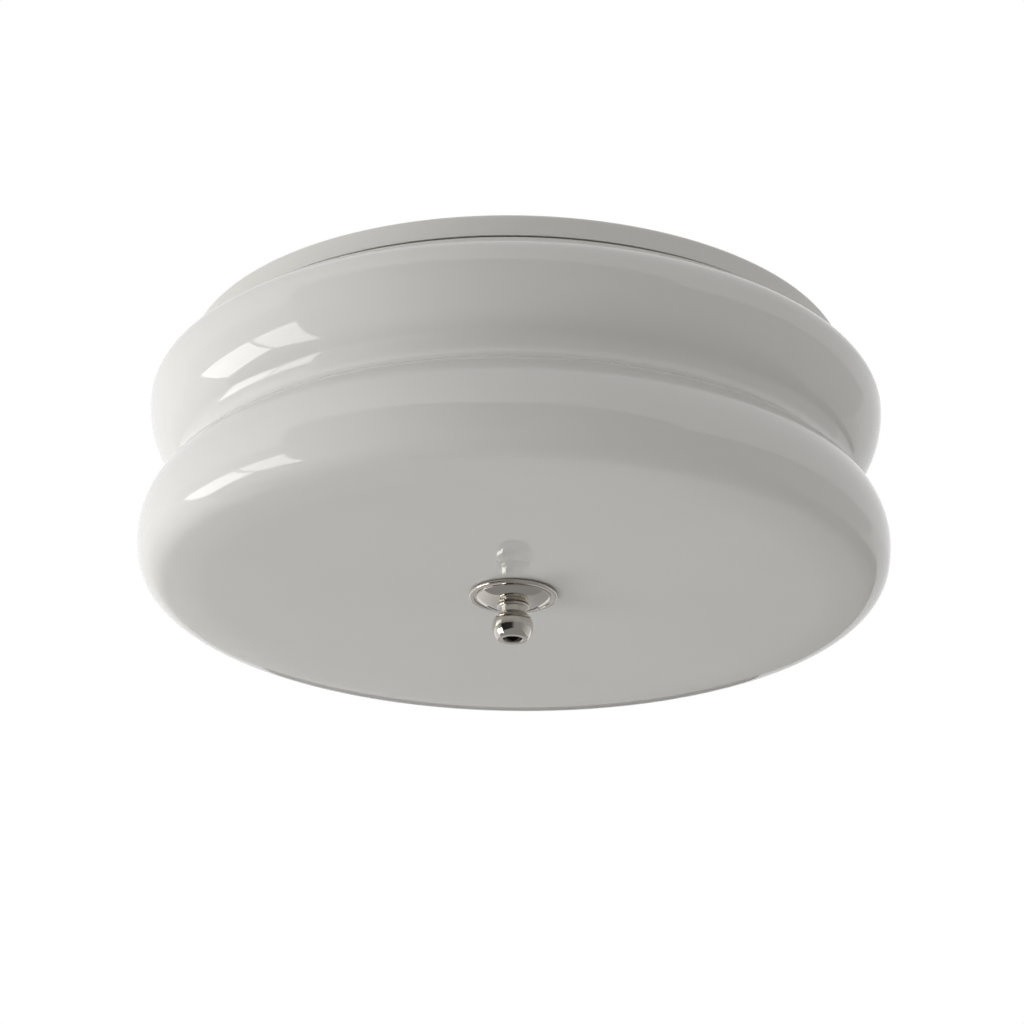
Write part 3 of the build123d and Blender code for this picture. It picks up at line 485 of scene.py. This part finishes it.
class LIGHT_OT_pan(bpy.types.Operator):
    """Press the enamelled pan and punch its holes"""
    bl_idname = "light.pan"
    bl_label = "Ceiling pan"

    def execute(self, context):
        p = context.scene.light_pan
        tube_hole = 5.3 * mm
        punch_length = 30.0 * mm
        pan_sharp = 30.0
        half_bead = p.bead_width / 2
        top = (
            (tube_hole, -p.field),
            (p.bead - half_bead, -p.field),
            (p.bead, -p.field - p.bead_depth),
            (p.bead + half_bead, -p.field),
            (p.radius - p.ring - p.slope, -p.field),
            (p.radius - p.ring, 0.0),
            (p.radius, 0.0),
            (p.radius - p.taper, -p.depth),
        )
        under = beside(top, p.sheet)
        # Radius of each bend on the top face; on the other face it is wider or tighter by the sheet.
        top_bends = (2.5 * mm, 2.5 * mm, 2.5 * mm, 4.0 * mm, 4.0 * mm, 2.5 * mm)
        widening = (-1, 1, -1, 1, -1, -1)
        under_bends = [radius + sign * p.sheet for radius, sign in zip(top_bends, widening)]
        section = Outline(*top[0])
        for corner, following, radius in zip(top[1:-1], top[2:], top_bends):
            section.bend(corner, following, radius)
        section.line(*top[-1])
        section.line(*under[-1])
        for corner, following, radius in zip(under[-2:0:-1], under[-3::-1], reversed(under_bends)):
            section.bend(corner, following, radius)
        section.line(*under[0])
        section.close()
        pressed = add_piece("enamelled_pan", section.turned(256), white_enamel(tuple(p.colour)), "root",
                            "white_enamel", "ceiling_pan", sharp=pan_sharp)

        # Holes for the studs, the cable, the earth screw and the terminal block's screws: x, y, radius.
        holes = ((-31.0, 0.0, 2.25), (31.0, 0.0, 2.25), (0.0, -92.0, 8.0), (30.0, -52.0, 2.05),
                 (-5.0, -66.0, 1.45), (5.0, -66.0, 1.45))
        punches = bmesh.new()
        for x, y, radius in holes:
            bmesh.ops.create_cone(
                punches, cap_ends=True, segments=48, radius1=radius * mm, radius2=radius * mm,
                depth=punch_length, matrix=Matrix.Translation((x * mm, y * mm, -p.field)))
        tool = add_object("punches", punches)
        cut = pressed.modifiers.new("punch", "BOOLEAN")
        cut.operation = "DIFFERENCE"
        cut.solver = "EXACT"
        cut.object = tool
        context.view_layer.update()
        punched = bpy.data.meshes.new_from_object(pressed.evaluated_get(context.evaluated_depsgraph_get()))
        spare = (tool.data, pressed.data)
        pressed.modifiers.clear()
        pressed.data = punched
        bpy.data.objects.remove(tool)
        for data in spare:
            bpy.data.meshes.remove(data)
        punched.name = "enamelled_pan"
        smooth(punched, pan_sharp)
        return {"FINISHED"}


class LIGHT_OT_finial(bpy.types.Operator):
    """Turn the cover plate and the ball finial"""
    bl_idname = "light.finial"
    bl_label = "Finial"

    def execute(self, context):
        f = context.scene.light_finial
        nickel = metal("polished_nickel", tuple(f.colour), 0.07, 0.02, 3.0 * mm, 0.01 * mm)
        lip = 0.25 * mm
        hole = f.bore + lip
        washer_room = 0.3 * mm
        washer_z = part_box("finial_washer")[0][2]
        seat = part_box("finial_washer")[1][0] + washer_room
        rim_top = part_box("finial_plate")[1][2]
        rim = f.plate_radius - f.rim_radius
        rim_low = rim_top - 2 * f.rim_radius
        groove_out = f.groove_radius + f.groove_width / 2
        groove_in = f.groove_radius - f.groove_width / 2
        spring = groove_in - 3 * lip

        plate = Outline(hole, washer_z, fineness=10.0)
        plate.line(seat, washer_z)
        plate.line(seat, rim_top)
        plate.line(rim, rim_top)
        plate.arc(rim, rim_top - f.rim_radius, -180.0)
        plate.line(groove_out + lip, rim_low)
        plate.arc(groove_out + lip, rim_low + lip, -90.0)
        plate.line(groove_out, rim_low + f.groove_width)
        plate.line(groove_in, rim_low + f.groove_width)
        plate.line(groove_in, rim_low + lip)
        plate.arc(groove_in - lip, rim_low + lip, -90.0)
        plate.line(spring, rim_low)
        plate.line(spring - lip, rim_low - lip)
        # The dome springs from a small upstand inside the groove and falls to the collar.
        plate.fineness = 2.5
        dome_reach = spring - lip - f.collar_radius
        dome_fall = rim_low - lip - plate_low
        dome_curve = (dome_reach * dome_reach + dome_fall * dome_fall) / (2 * dome_fall)
        dome_turn = math.degrees(math.asin(dome_reach / dome_curve))
        plate.arc(f.collar_radius, plate_low + dome_curve, -dome_turn)
        plate.line(hole, plate_low)
        plate.close()
        add_piece("cover_plate", plate.turned(128), nickel, "finial_cover", "polished_nickel", "finial_plate")

        ball_z = plate_low - f.ball_drop
        collar_curve = f.collar_height / 2
        middle = (f.ball_radius - f.shoulder_curve, ball_z)
        shoulder_turn = math.degrees(math.acos((f.neck_radius + lip - middle[0]) / f.shoulder_curve))
        foot_turn = math.degrees(math.asin((ball_z - ball_end - lip) / f.ball_radius))
        knob = Outline(f.bore, plate_low, fineness=8.0)
        knob.line(f.collar_radius - collar_curve, plate_low)
        knob.arc(f.collar_radius - collar_curve, plate_low - collar_curve, -180.0)
        knob.line(f.neck_radius + lip, plate_low - f.collar_height)
        knob.arc(f.neck_radius + lip, plate_low - f.collar_height - lip, 90.0)
        top = on_circle(middle, f.shoulder_curve, shoulder_turn)
        knob.line(f.neck_radius, top[1] + 2 * lip)
        knob.line(f.neck_radius + 1.5 * lip, top[1] + lip)
        knob.line(f.neck_radius + 1.5 * lip, top[1])
        # A turned ring line lies where the neck meets the ball.
        ring = top[0] + lip
        ring_step = 4.0
        knob.line(ring, on_circle(middle, f.shoulder_curve, shoulder_turn - ring_step)[1])
        knob.fineness = 5.0
        ring_turn = math.degrees(math.acos((ring - middle[0]) / f.shoulder_curve))
        knob.line(*on_circle(middle, f.shoulder_curve, ring_turn))
        knob.arc(*middle, -ring_turn)
        knob.arc(0.0, ball_z, -foot_turn)
        knob.line(knob.at()[0] - lip, ball_end)
        knob.line(f.bore + f.chamfer, ball_end)
        knob.line(f.bore, ball_end + f.chamfer)
        knob.close()
        add_piece("ball_finial", knob.turned(96), nickel, "finial_nut", "polished_nickel", "finial_knob")
        return {"FINISHED"}


class LIGHT_OT_tube(bpy.types.Operator):
    """Turn the threaded lamp tube"""
    bl_idname = "light.tube"
    bl_label = "Threaded tube"

    def execute(self, context):
        (_, _, low), (outside, _, high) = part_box("centre_tube")
        inside = 3.6 * mm
        ease = 0.4 * mm
        row = 0.25 * mm
        tube = Outline(inside, low)
        tube.line(outside - ease, low)
        tube.line(outside, low + ease)
        tube.line(outside, high - ease, int((high - low - 2 * ease) / row))
        tube.line(outside - ease, high)
        tube.line(inside, high)
        tube.close()
        mesh = tube.turned(32)
        # M10 by 1: the thread is a millimetre from crest to crest.
        pitch = 1.0 * mm
        depth = 0.5 * mm
        rolled_thread(mesh, outside, low, high, pitch, depth)
        zinc = metal("zinc_steel", linear("#B9BABB"), 0.3, 0.08, 1.5 * mm, 0.02 * mm)
        add_piece("lamp_tube", mesh, zinc, "root", "zinc_steel", "centre_tube", sharp=75.0)
        return {"FINISHED"}


class LIGHT_OT_bulbs(bpy.types.Operator):
    """Make the three screw-cap bulbs: globe, collar, cap, insulator and tip"""
    bl_idname = "light.bulbs"
    bl_label = "Bulbs"

    def execute(self, context):
        b = context.scene.light_lamps
        diffuser = moulded("bulb_diffuser", linear("#EEEDE8"), 0.42, 1.49, 6.0 * mm, 0.02 * mm, 0.01)
        housing = moulded("bulb_housing", linear("#E9E8E3"), 0.28, 1.49, 2.0 * mm, 0.03 * mm, 0.01)
        cap_metal = metal("bulb_cap_metal", linear("#C9C7C2"), 0.2, 0.06, 1.5 * mm, 0.02 * mm)
        black_glass = moulded("bulb_insulator", linear("#17171A"), 0.12, 1.52, 2.0 * mm, 0.03 * mm, 0.2)
        solder = metal("brass_contact", linear("#C9A75A"), 0.28, 0.08, 0.8 * mm, 0.04 * mm)
        tip_height = 1.6 * mm
        insulator_height = 3.4 * mm
        insulator_z = b.tip_z + tip_height
        cap_z = insulator_z + insulator_height
        cap_end = 42.3 * mm
        plain_end = 1.2 * mm
        tip_radius = 4.8 * mm
        root = b.cap_radius - b.thread_depth
        skin = 0.8 * mm
        globe_z = b.tip_z + b.length - b.globe_radius
        seam_z = globe_z - b.seam_offset
        seam_angle = math.degrees(math.asin(b.seam_offset / b.globe_radius))
        inner = b.globe_radius - b.globe_wall
        inner_angle = math.degrees(math.asin(b.seam_offset / inner))
        seam_radius = math.sqrt(b.globe_radius ** 2 - b.seam_offset ** 2)

        for number, place in enumerate(lamp_places(), start=1):
            body = f"bulb_{number}"

            # A drop of solder with a soft edge.
            tip = Outline(0.0, b.tip_z, fineness=10.0)
            tip.line(tip_radius - 1.4 * mm, b.tip_z)
            tip.line(tip_radius - 0.6 * mm, b.tip_z + 0.1 * mm)
            tip.arc(tip_radius - 0.7 * mm, b.tip_z + 0.8 * mm, 85.0)
            tip.line(tip_radius, b.tip_z + 0.8 * mm)
            tip.line(tip_radius, insulator_z)
            tip.line(0.0, insulator_z)
            self.lay(f"{body}_contact", tip, place, solder, body, "brass", f"{body}_tip", 32)

            # The black glass cone between the tip and the cap.
            glass = Outline(0.0, insulator_z, fineness=10.0)
            glass.line(tip_radius + 0.4 * mm, insulator_z)
            glass.line(tip_radius + 1.2 * mm, insulator_z + 0.3 * mm)
            glass.line(root - skin - 0.6 * mm, cap_z - 0.3 * mm)
            glass.line(root - skin, cap_z)
            glass.line(0.0, cap_z)
            self.lay(f"{body}_black_glass", glass, place, black_glass, body, "bulb_insulator",
                     f"{body}_insulator", 48)

            # The threaded cap, of thin sheet and open towards the bulb.
            cap = Outline(root - skin - 1.2 * mm, cap_z, fineness=10.0)
            cap.line(root - 0.8 * mm, cap_z)
            cap.arc(root - 0.8 * mm, cap_z + 0.8 * mm, 90.0)
            cap.line(b.cap_radius, cap_z + 2.4 * mm, 3)
            cap.line(b.cap_radius, cap_end - 2.0 * mm, 60)
            cap.line(root, cap_end - 1.0 * mm, 3)
            cap.line(root, cap_end)
            cap.line(root - skin, cap_end)
            cap.line(root - skin, cap_z + skin)
            cap.line(root - skin - 1.2 * mm, cap_z + skin)
            cap.close()
            mesh = cap.turned(72)
            rolled_thread(mesh, b.cap_radius, cap_z + plain_end, cap_end - plain_end, b.pitch, b.thread_depth)
            mesh.transform(place)
            add_piece(f"{body}_screw_cap", mesh, cap_metal, body, "bulb_cap_metal", f"{body}_cap", sharp=50.0)

            # The collar widens from the cap to the globe's seam.
            low = b.cap_radius + 1.3 * mm
            collar = Outline(0.0, cap_z + skin, fineness=5.0)
            collar.line(root - skin - 0.3 * mm, cap_z + skin)
            collar.line(root - skin - 0.3 * mm, cap_end)
            collar.line(low - 0.6 * mm, cap_end)
            collar.line(low, cap_end + 0.6 * mm)
            collar.line(low + 0.25 * mm, cap_end + 2.4 * mm)
            bulge = ((low + seam_radius) / 2 + 0.5 * mm, (cap_end + seam_z) / 2)
            collar.line(*bulge, 4)
            collar.line(seam_radius - 0.25 * mm, seam_z - 0.5 * mm, 4)
            collar.line(seam_radius - 0.6 * mm, seam_z)
            collar.line(0.0, seam_z)
            self.lay(f"{body}_neck", collar, place, housing, body, "bulb_housing", f"{body}_collar", 72)

            globe = Outline(seam_radius, seam_z, fineness=3.0)
            globe.arc(0.0, globe_z, 90.0 + seam_angle)
            globe.line(0.0, globe_z + inner)
            globe.arc(0.0, globe_z, -90.0 - inner_angle)
            globe.close()
            self.lay(f"{body}_diffuser", globe, place, diffuser, body, "bulb_diffuser", f"{body}_globe", 72)
        return {"FINISHED"}

    def lay(self, name, outline, place, finish, body, slot, node, around):
        """Turns an outline and lays it along its lamp's axis."""
        mesh = outline.turned(around)
        mesh.transform(place)
        add_piece(name, mesh, finish, body, slot, node)


class LIGHT_OT_shells(bpy.types.Operator):
    """Roll the thread into the three lampholders' brass shells"""
    bl_idname = "light.shells"
    bl_label = "Screw shells"

    def execute(self, context):
        b = context.scene.light_lamps
        floor = 13.0 * mm
        outside = 14.0 * mm
        flange = 8.0 * mm
        press = 0.3 * mm
        sheet = outside - b.shell_radius
        shells = bmesh.new()
        for place in lamp_places():
            shell = Outline(flange, floor)
            shell.line(outside, floor)
            shell.line(outside, floor + b.shell_length)
            shell.line(b.shell_radius, floor + b.shell_length)
            shell.line(b.shell_radius, floor + sheet, 60)
            shell.line(flange, floor + sheet)
            shell.close()
            mesh = shell.turned(64)
            # The thread is pressed outwards, so its depth is negative.
            low = floor + 1.5 * mm
            high = floor + b.shell_length - 0.5 * mm
            rolled_thread(mesh, b.shell_radius, low, high, b.pitch, -press)
            mesh.transform(place)
            data = bpy.data.meshes.new("shell")
            mesh.to_mesh(data)
            mesh.free()
            shells.from_mesh(data)
            bpy.data.meshes.remove(data)
        rolled_brass = metal("brass", linear("#C8A04E"), 0.25, 0.08, 1.0 * mm, 0.03 * mm)
        add_piece("threaded_shells", shells, rolled_brass, "root", "brass", "screw_shells", sharp=50.0)
        return {"FINISHED"}


class LIGHT_OT_finishes(bpy.types.Operator):
    """Give every carried-over piece its finish"""
    bl_idname = "light.finishes"
    bl_label = "Finishes"

    def execute(self, context):
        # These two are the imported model's own plain materials.
        zinc = bpy.data.materials["zinc_steel"]
        brass = bpy.data.materials["brass"]
        rubber = moulded("black_rubber", linear("#1B1B1B"), 0.6, 1.5, 0.8 * mm, 0.06 * mm, 0.2)
        lead_level = (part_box("earth_lead")[0][2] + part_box("earth_lead")[1][2]) / 2
        holder = moulded("white_thermoset", linear("#E2DFD6"), 0.33, 1.6, 1.2 * mm, 0.04 * mm, 0.04)
        finishes = {
            "glass_seal": moulded("silicone_foam", linear("#D8D6CF"), 0.75, 1.42, 0.7 * mm, 0.15 * mm, 0.1),
            "mounting_bar": zinc,
            "bar_studs": zinc,
            "stud_washers": zinc,
            "tube_nuts": zinc,
            "lock_washers": zinc,
            "lampholder_screws": zinc,
            "terminal_screws": zinc,
            "block_screws": zinc,
            "cap_nuts": metal("nickel_small", linear("#CFCBC3"), 0.14, 0.04, 1.0 * mm, 0.02 * mm),
            "lampholder_bracket": metal("zinc_sheet", linear("#B3B5B6"), 0.36, 0.1, 4.0 * mm, 0.03 * mm),
            "centre_contacts": brass,
            "earth_washer": brass,
            "earth_screw": brass,
            "earth_lug": metal("tinned_copper", linear("#C4C0B6"), 0.3, 0.08, 0.8 * mm, 0.03 * mm),
            "cable_grommet": rubber,
            "finial_washer": rubber,
            "terminal_block": moulded("polyamide", linear("#DAD7CD"), 0.4, 1.53, 1.5 * mm, 0.03 * mm, 0.03),
            "lampholder_1": holder,
            "lampholder_2": holder,
            "lampholder_3": holder,
            "live_leads": moulded("brown_silicone", linear("#6B4024"), 0.45, 1.43, 1.0 * mm, 0.03 * mm, 0.08),
            "neutral_leads": moulded("blue_silicone", linear("#2D63A8"), 0.45, 1.43, 1.0 * mm, 0.03 * mm, 0.08),
            "earth_lead": earth_sleeve(lead_level),
        }
        for node, finish in finishes.items():
            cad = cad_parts[node]
            cad.data.materials.clear()
            cad.data.materials.append(finish)
        return {"FINISHED"}


# ---------------------------------------------------------------- the stage
# Centre, width, height in metres, and radiance, where 1 would look white.
soft_lamps = {
    "left": ((-2.3, -0.3, -0.15), 1.4, 0.8, 5.9),
    "left_low": ((-1.8, -0.3, -1.3), 1.4, 1.2, 1.5),
    "left_back": ((-1.4, 1.3, -1.3), 1.2, 1.0, 3.0),
    "front_left": ((-1.5, -1.7, 0.9), 1.4, 1.2, 1.4),
    "front": ((0.0, -2.6, -0.3), 1.6, 0.8, 1.8),
    "right": ((2.3, -0.3, -0.15), 1.4, 0.8, 2.0),
    "above": ((0.0, 0.3, 2.0), 1.6, 1.6, 1.0),
}
# Four corners in metres, the brightness at the first and last side, and the part over which it changes.
room_cards = {
    "window_near_pane": (
        ((-1.5, 0.452, -0.358), (-1.5, -0.15, -0.455), (-1.5, -0.12, -1.0), (-1.5, 0.455, -0.911)),
        5.0, 5.0, 1.0),
    "window_far_pane": (
        ((-1.5, -0.195, -0.465), (-1.5, -0.651, -0.571), (-1.5, -0.417, -1.56), (-1.5, -0.15, -1.04)),
        4.2, 4.2, 1.0),
    "dim_left": (
        ((-2.9, 1.2, -1.9), (-2.9, -1.2, -1.9), (-2.9, -1.2, 0.2), (-2.9, 1.2, 0.2)),
        0.8, 0.25, 1.0),
    "dark_front_left": (
        ((-2.9, -1.2, -1.9), (-0.5, -3.1, -1.9), (-0.5, -3.1, 1.0), (-2.9, -1.2, 1.0)),
        0.02, 0.03, 1.0),
    "dim_front": (
        ((-0.5, -3.1, -1.9), (3.2, -3.1, -1.9), (3.2, -3.1, 1.0), (-0.5, -3.1, 1.0)),
        0.03, 0.3, 0.35),
    "dim_right": (
        ((3.2, -3.1, -1.9), (3.2, 2.4, -1.9), (3.2, 2.4, 0.6), (3.2, -3.1, 0.6)),
        0.3, 0.7, 1.0),
    "dim_below": (
        ((-2.9, -3.1, -1.9), (3.2, -3.1, -1.9), (3.2, 1.2, -1.9), (-2.9, 1.2, -1.9)),
        0.3, 0.3, 1.0),
    "dim_back": (
        ((-2.6, 1.2, -1.9), (3.2, 1.2, -1.9), (3.2, 4.0, -0.85), (-2.6, 4.0, -0.85)),
        0.85, 0.4, 0.65),
    "dark_back": (
        ((-0.7, 4.0, -0.85), (0.7, 4.0, -0.85), (0.7, 4.0, -0.3), (-0.7, 4.0, -0.3)),
        0.03, 0.03, 1.0),
}


def add_lamp(name, centre, width, height, radiance):
    """A flat soft lamp that faces the light fitting."""
    lamp = bpy.data.lights.new(name, "AREA")
    lamp.shape = "RECTANGLE"
    lamp.size = width
    lamp.size_y = height
    lamp.energy = radiance * math.pi * width * height
    holder = bpy.data.objects.new(name, lamp)
    bpy.context.scene.collection.objects.link(holder)
    fitting = Vector((0.0, 0.0, -0.08))
    aim = fitting - Vector(centre)
    holder.matrix_world = Matrix.Translation(centre) @ aim.to_track_quat("-Z", "Y").to_matrix().to_4x4()
    holder.visible_glossy = False


def add_card(name, corners, first, last, part):
    """A flat card that only the gloss shows, its brightness changing from its first side to its last."""
    mesh = bmesh.new()
    face = mesh.faces.new([mesh.verts.new(corner) for corner in corners])
    across = mesh.loops.layers.uv.new("across")
    for loop, place in zip(face.loops, ((0, 0), (1, 0), (1, 1), (0, 1))):
        loop[across].uv = place
    finish, tree, where = start_material(name, "UV")
    place = add_node(tree, "ShaderNodeSeparateXYZ", {"Vector": where})
    fade = add_node(tree, "ShaderNodeMapRange", {
        "Value": place.outputs["X"], "From Min": 0.0, "From Max": part, "To Min": first, "To Max": last},
        interpolation_type="SMOOTHSTEP")
    end_material(tree, add_node(tree, "ShaderNodeEmission", {"Strength": fade.outputs["Result"]}))
    card = add_object(name, mesh, finish)
    card.visible_camera = False
    card.visible_diffuse = False
    card.visible_transmission = False
    card.visible_shadow = False


def seen_rays(tree):
    """1 for the rays that the eye follows: straight from the camera, mirrored, or through glass."""
    rays = add_node(tree, "ShaderNodeLightPath").outputs
    seen = add_node(tree, "ShaderNodeMath", {
        0: rays["Is Camera Ray"], 1: rays["Is Glossy Ray"]}, operation="MAXIMUM")
    return add_node(tree, "ShaderNodeMath", {
        0: seen.outputs[0], 1: rays["Is Transmission Ray"]}, operation="MAXIMUM").outputs[0]


class LIGHT_OT_stage(bpy.types.Operator):
    """Set the camera, the soft lamps, the pale floor and the white surroundings"""
    bl_idname = "light.stage"
    bl_label = "Stage"

    def execute(self, context):
        scene = context.scene
        s = scene.light_stage
        scene.view_settings.view_transform = "Standard"

        lens = bpy.data.cameras.new("camera")
        lens.sensor_width = 36.0
        lens.lens = s.lens
        # The photograph's centre lies 2.4 of its 1024 pixels beside the lens's.
        lens.shift_x = -2.42 / 1024
        lens.clip_end = 50.0
        camera = bpy.data.objects.new("camera", lens)
        scene.collection.objects.link(camera)
        camera.matrix_world = (
            Matrix.Translation((0.0, -s.camera_back, -s.camera_low))
            @ Matrix.Rotation(math.pi / 2 + s.camera_pitch, 4, "X")
            @ Matrix.Rotation(s.camera_roll, 4, "Z"))
        scene.camera = camera

        # Soft lamps: they light the pieces, and their own shapes don't show in the gloss.
        for name, (centre, width, height, radiance) in soft_lamps.items():
            add_lamp(name, centre, width, height, radiance)
        # A window on the left in two panes, and the dim room round the camera, which only the gloss shows.
        for name, (corners, first, last, fade) in room_cards.items():
            add_card(name, corners, first, last, fade)

        world = bpy.data.worlds.new("surroundings")
        scene.world = world
        world.use_nodes = True
        tree = world.node_tree
        tree.nodes.clear()
        seen = seen_rays(tree)
        room = add_node(tree, "ShaderNodeBackground", {"Color": (1.0, 0.99, 0.98, 1.0), "Strength": s.ambient})
        white = add_node(tree, "ShaderNodeBackground", {"Color": (1.0, 1.0, 1.0, 1.0), "Strength": 1.0})
        mixed = add_node(tree, "ShaderNodeMixShader", {0: seen, 1: room.outputs[0], 2: white.outputs[0]})
        add_node(tree, "ShaderNodeOutputWorld", {"Surface": mixed.outputs[0]})

        floor_mesh = bmesh.new()
        bmesh.ops.create_grid(floor_mesh, x_segments=2, y_segments=2, size=12.0)
        bmesh.ops.translate(floor_mesh, verts=floor_mesh.verts, vec=(0.0, 0.0, s.floor_z))
        finish, tree, _ = start_material("floor_paint")
        # Most of what the eye gets from the floor is plain white; the rest is paint, which keeps the shadow.
        seen = add_node(tree, "ShaderNodeMath", {0: seen_rays(tree), 1: s.floor_white}, operation="MULTIPLY")
        paint = add_node(tree, "ShaderNodeBsdfDiffuse", {"Color": s.floor_colour})
        bright = add_node(tree, "ShaderNodeEmission", {"Color": (1.0, 1.0, 1.0, 1.0), "Strength": 1.0})
        mixed = add_node(tree, "ShaderNodeMixShader", {
            0: seen.outputs[0], 1: paint.outputs[0], 2: bright.outputs[0]})
        end_material(tree, mixed)
        floor = add_object("floor", floor_mesh, finish)
        return {"FINISHED"}


# ---------------------------------------------------------------- the add-on
class LIGHT_PT_panel(bpy.types.Panel):
    """The ceiling light's pieces"""
    bl_idname = "LIGHT_PT_panel"
    bl_label = "Ceiling Light"
    bl_space_type = "VIEW_3D"
    bl_region_type = "UI"
    bl_category = "Ceiling Light"

    def draw(self, context):
        groups = (
            (context.scene.light_glass, LIGHT_OT_glass),
            (context.scene.light_pan, LIGHT_OT_pan),
            (context.scene.light_finial, LIGHT_OT_finial),
            (context.scene.light_lamps, LIGHT_OT_bulbs),
            (context.scene.light_stage, LIGHT_OT_stage),
        )
        for sizes, operator in groups:
            box = self.layout.box()
            for key in sizes.__annotations__:
                box.prop(sizes, key)
            box.operator(operator.bl_idname)
        for operator in (LIGHT_OT_tube, LIGHT_OT_shells, LIGHT_OT_finishes):
            self.layout.operator(operator.bl_idname)


size_groups = {
    "light_glass": GlassSizes,
    "light_pan": PanSizes,
    "light_finial": FinialSizes,
    "light_lamps": LampSizes,
    "light_stage": StageSizes,
}
operators = (
    LIGHT_OT_glass,
    LIGHT_OT_pan,
    LIGHT_OT_finial,
    LIGHT_OT_tube,
    LIGHT_OT_bulbs,
    LIGHT_OT_shells,
    LIGHT_OT_finishes,
    LIGHT_OT_stage,
)


def register():
    for group in size_groups.values():
        bpy.utils.register_class(group)
    for operator in operators:
        bpy.utils.register_class(operator)
    bpy.utils.register_class(LIGHT_PT_panel)
    for key, group in size_groups.items():
        setattr(bpy.types.Scene, key, PointerProperty(type=group))


def unregister():
    for key in size_groups:
        delattr(bpy.types.Scene, key)
    bpy.utils.unregister_class(LIGHT_PT_panel)
    for operator in reversed(operators):
        bpy.utils.unregister_class(operator)
    for group in reversed(size_groups.values()):
        bpy.utils.unregister_class(group)


def main():
    register()
    bpy.ops.light.glass()
    bpy.ops.light.pan()
    bpy.ops.light.finial()
    bpy.ops.light.tube()
    bpy.ops.light.bulbs()
    bpy.ops.light.shells()
    bpy.ops.light.finishes()
    bpy.ops.light.stage()


if __name__ == "__main__":
    main()
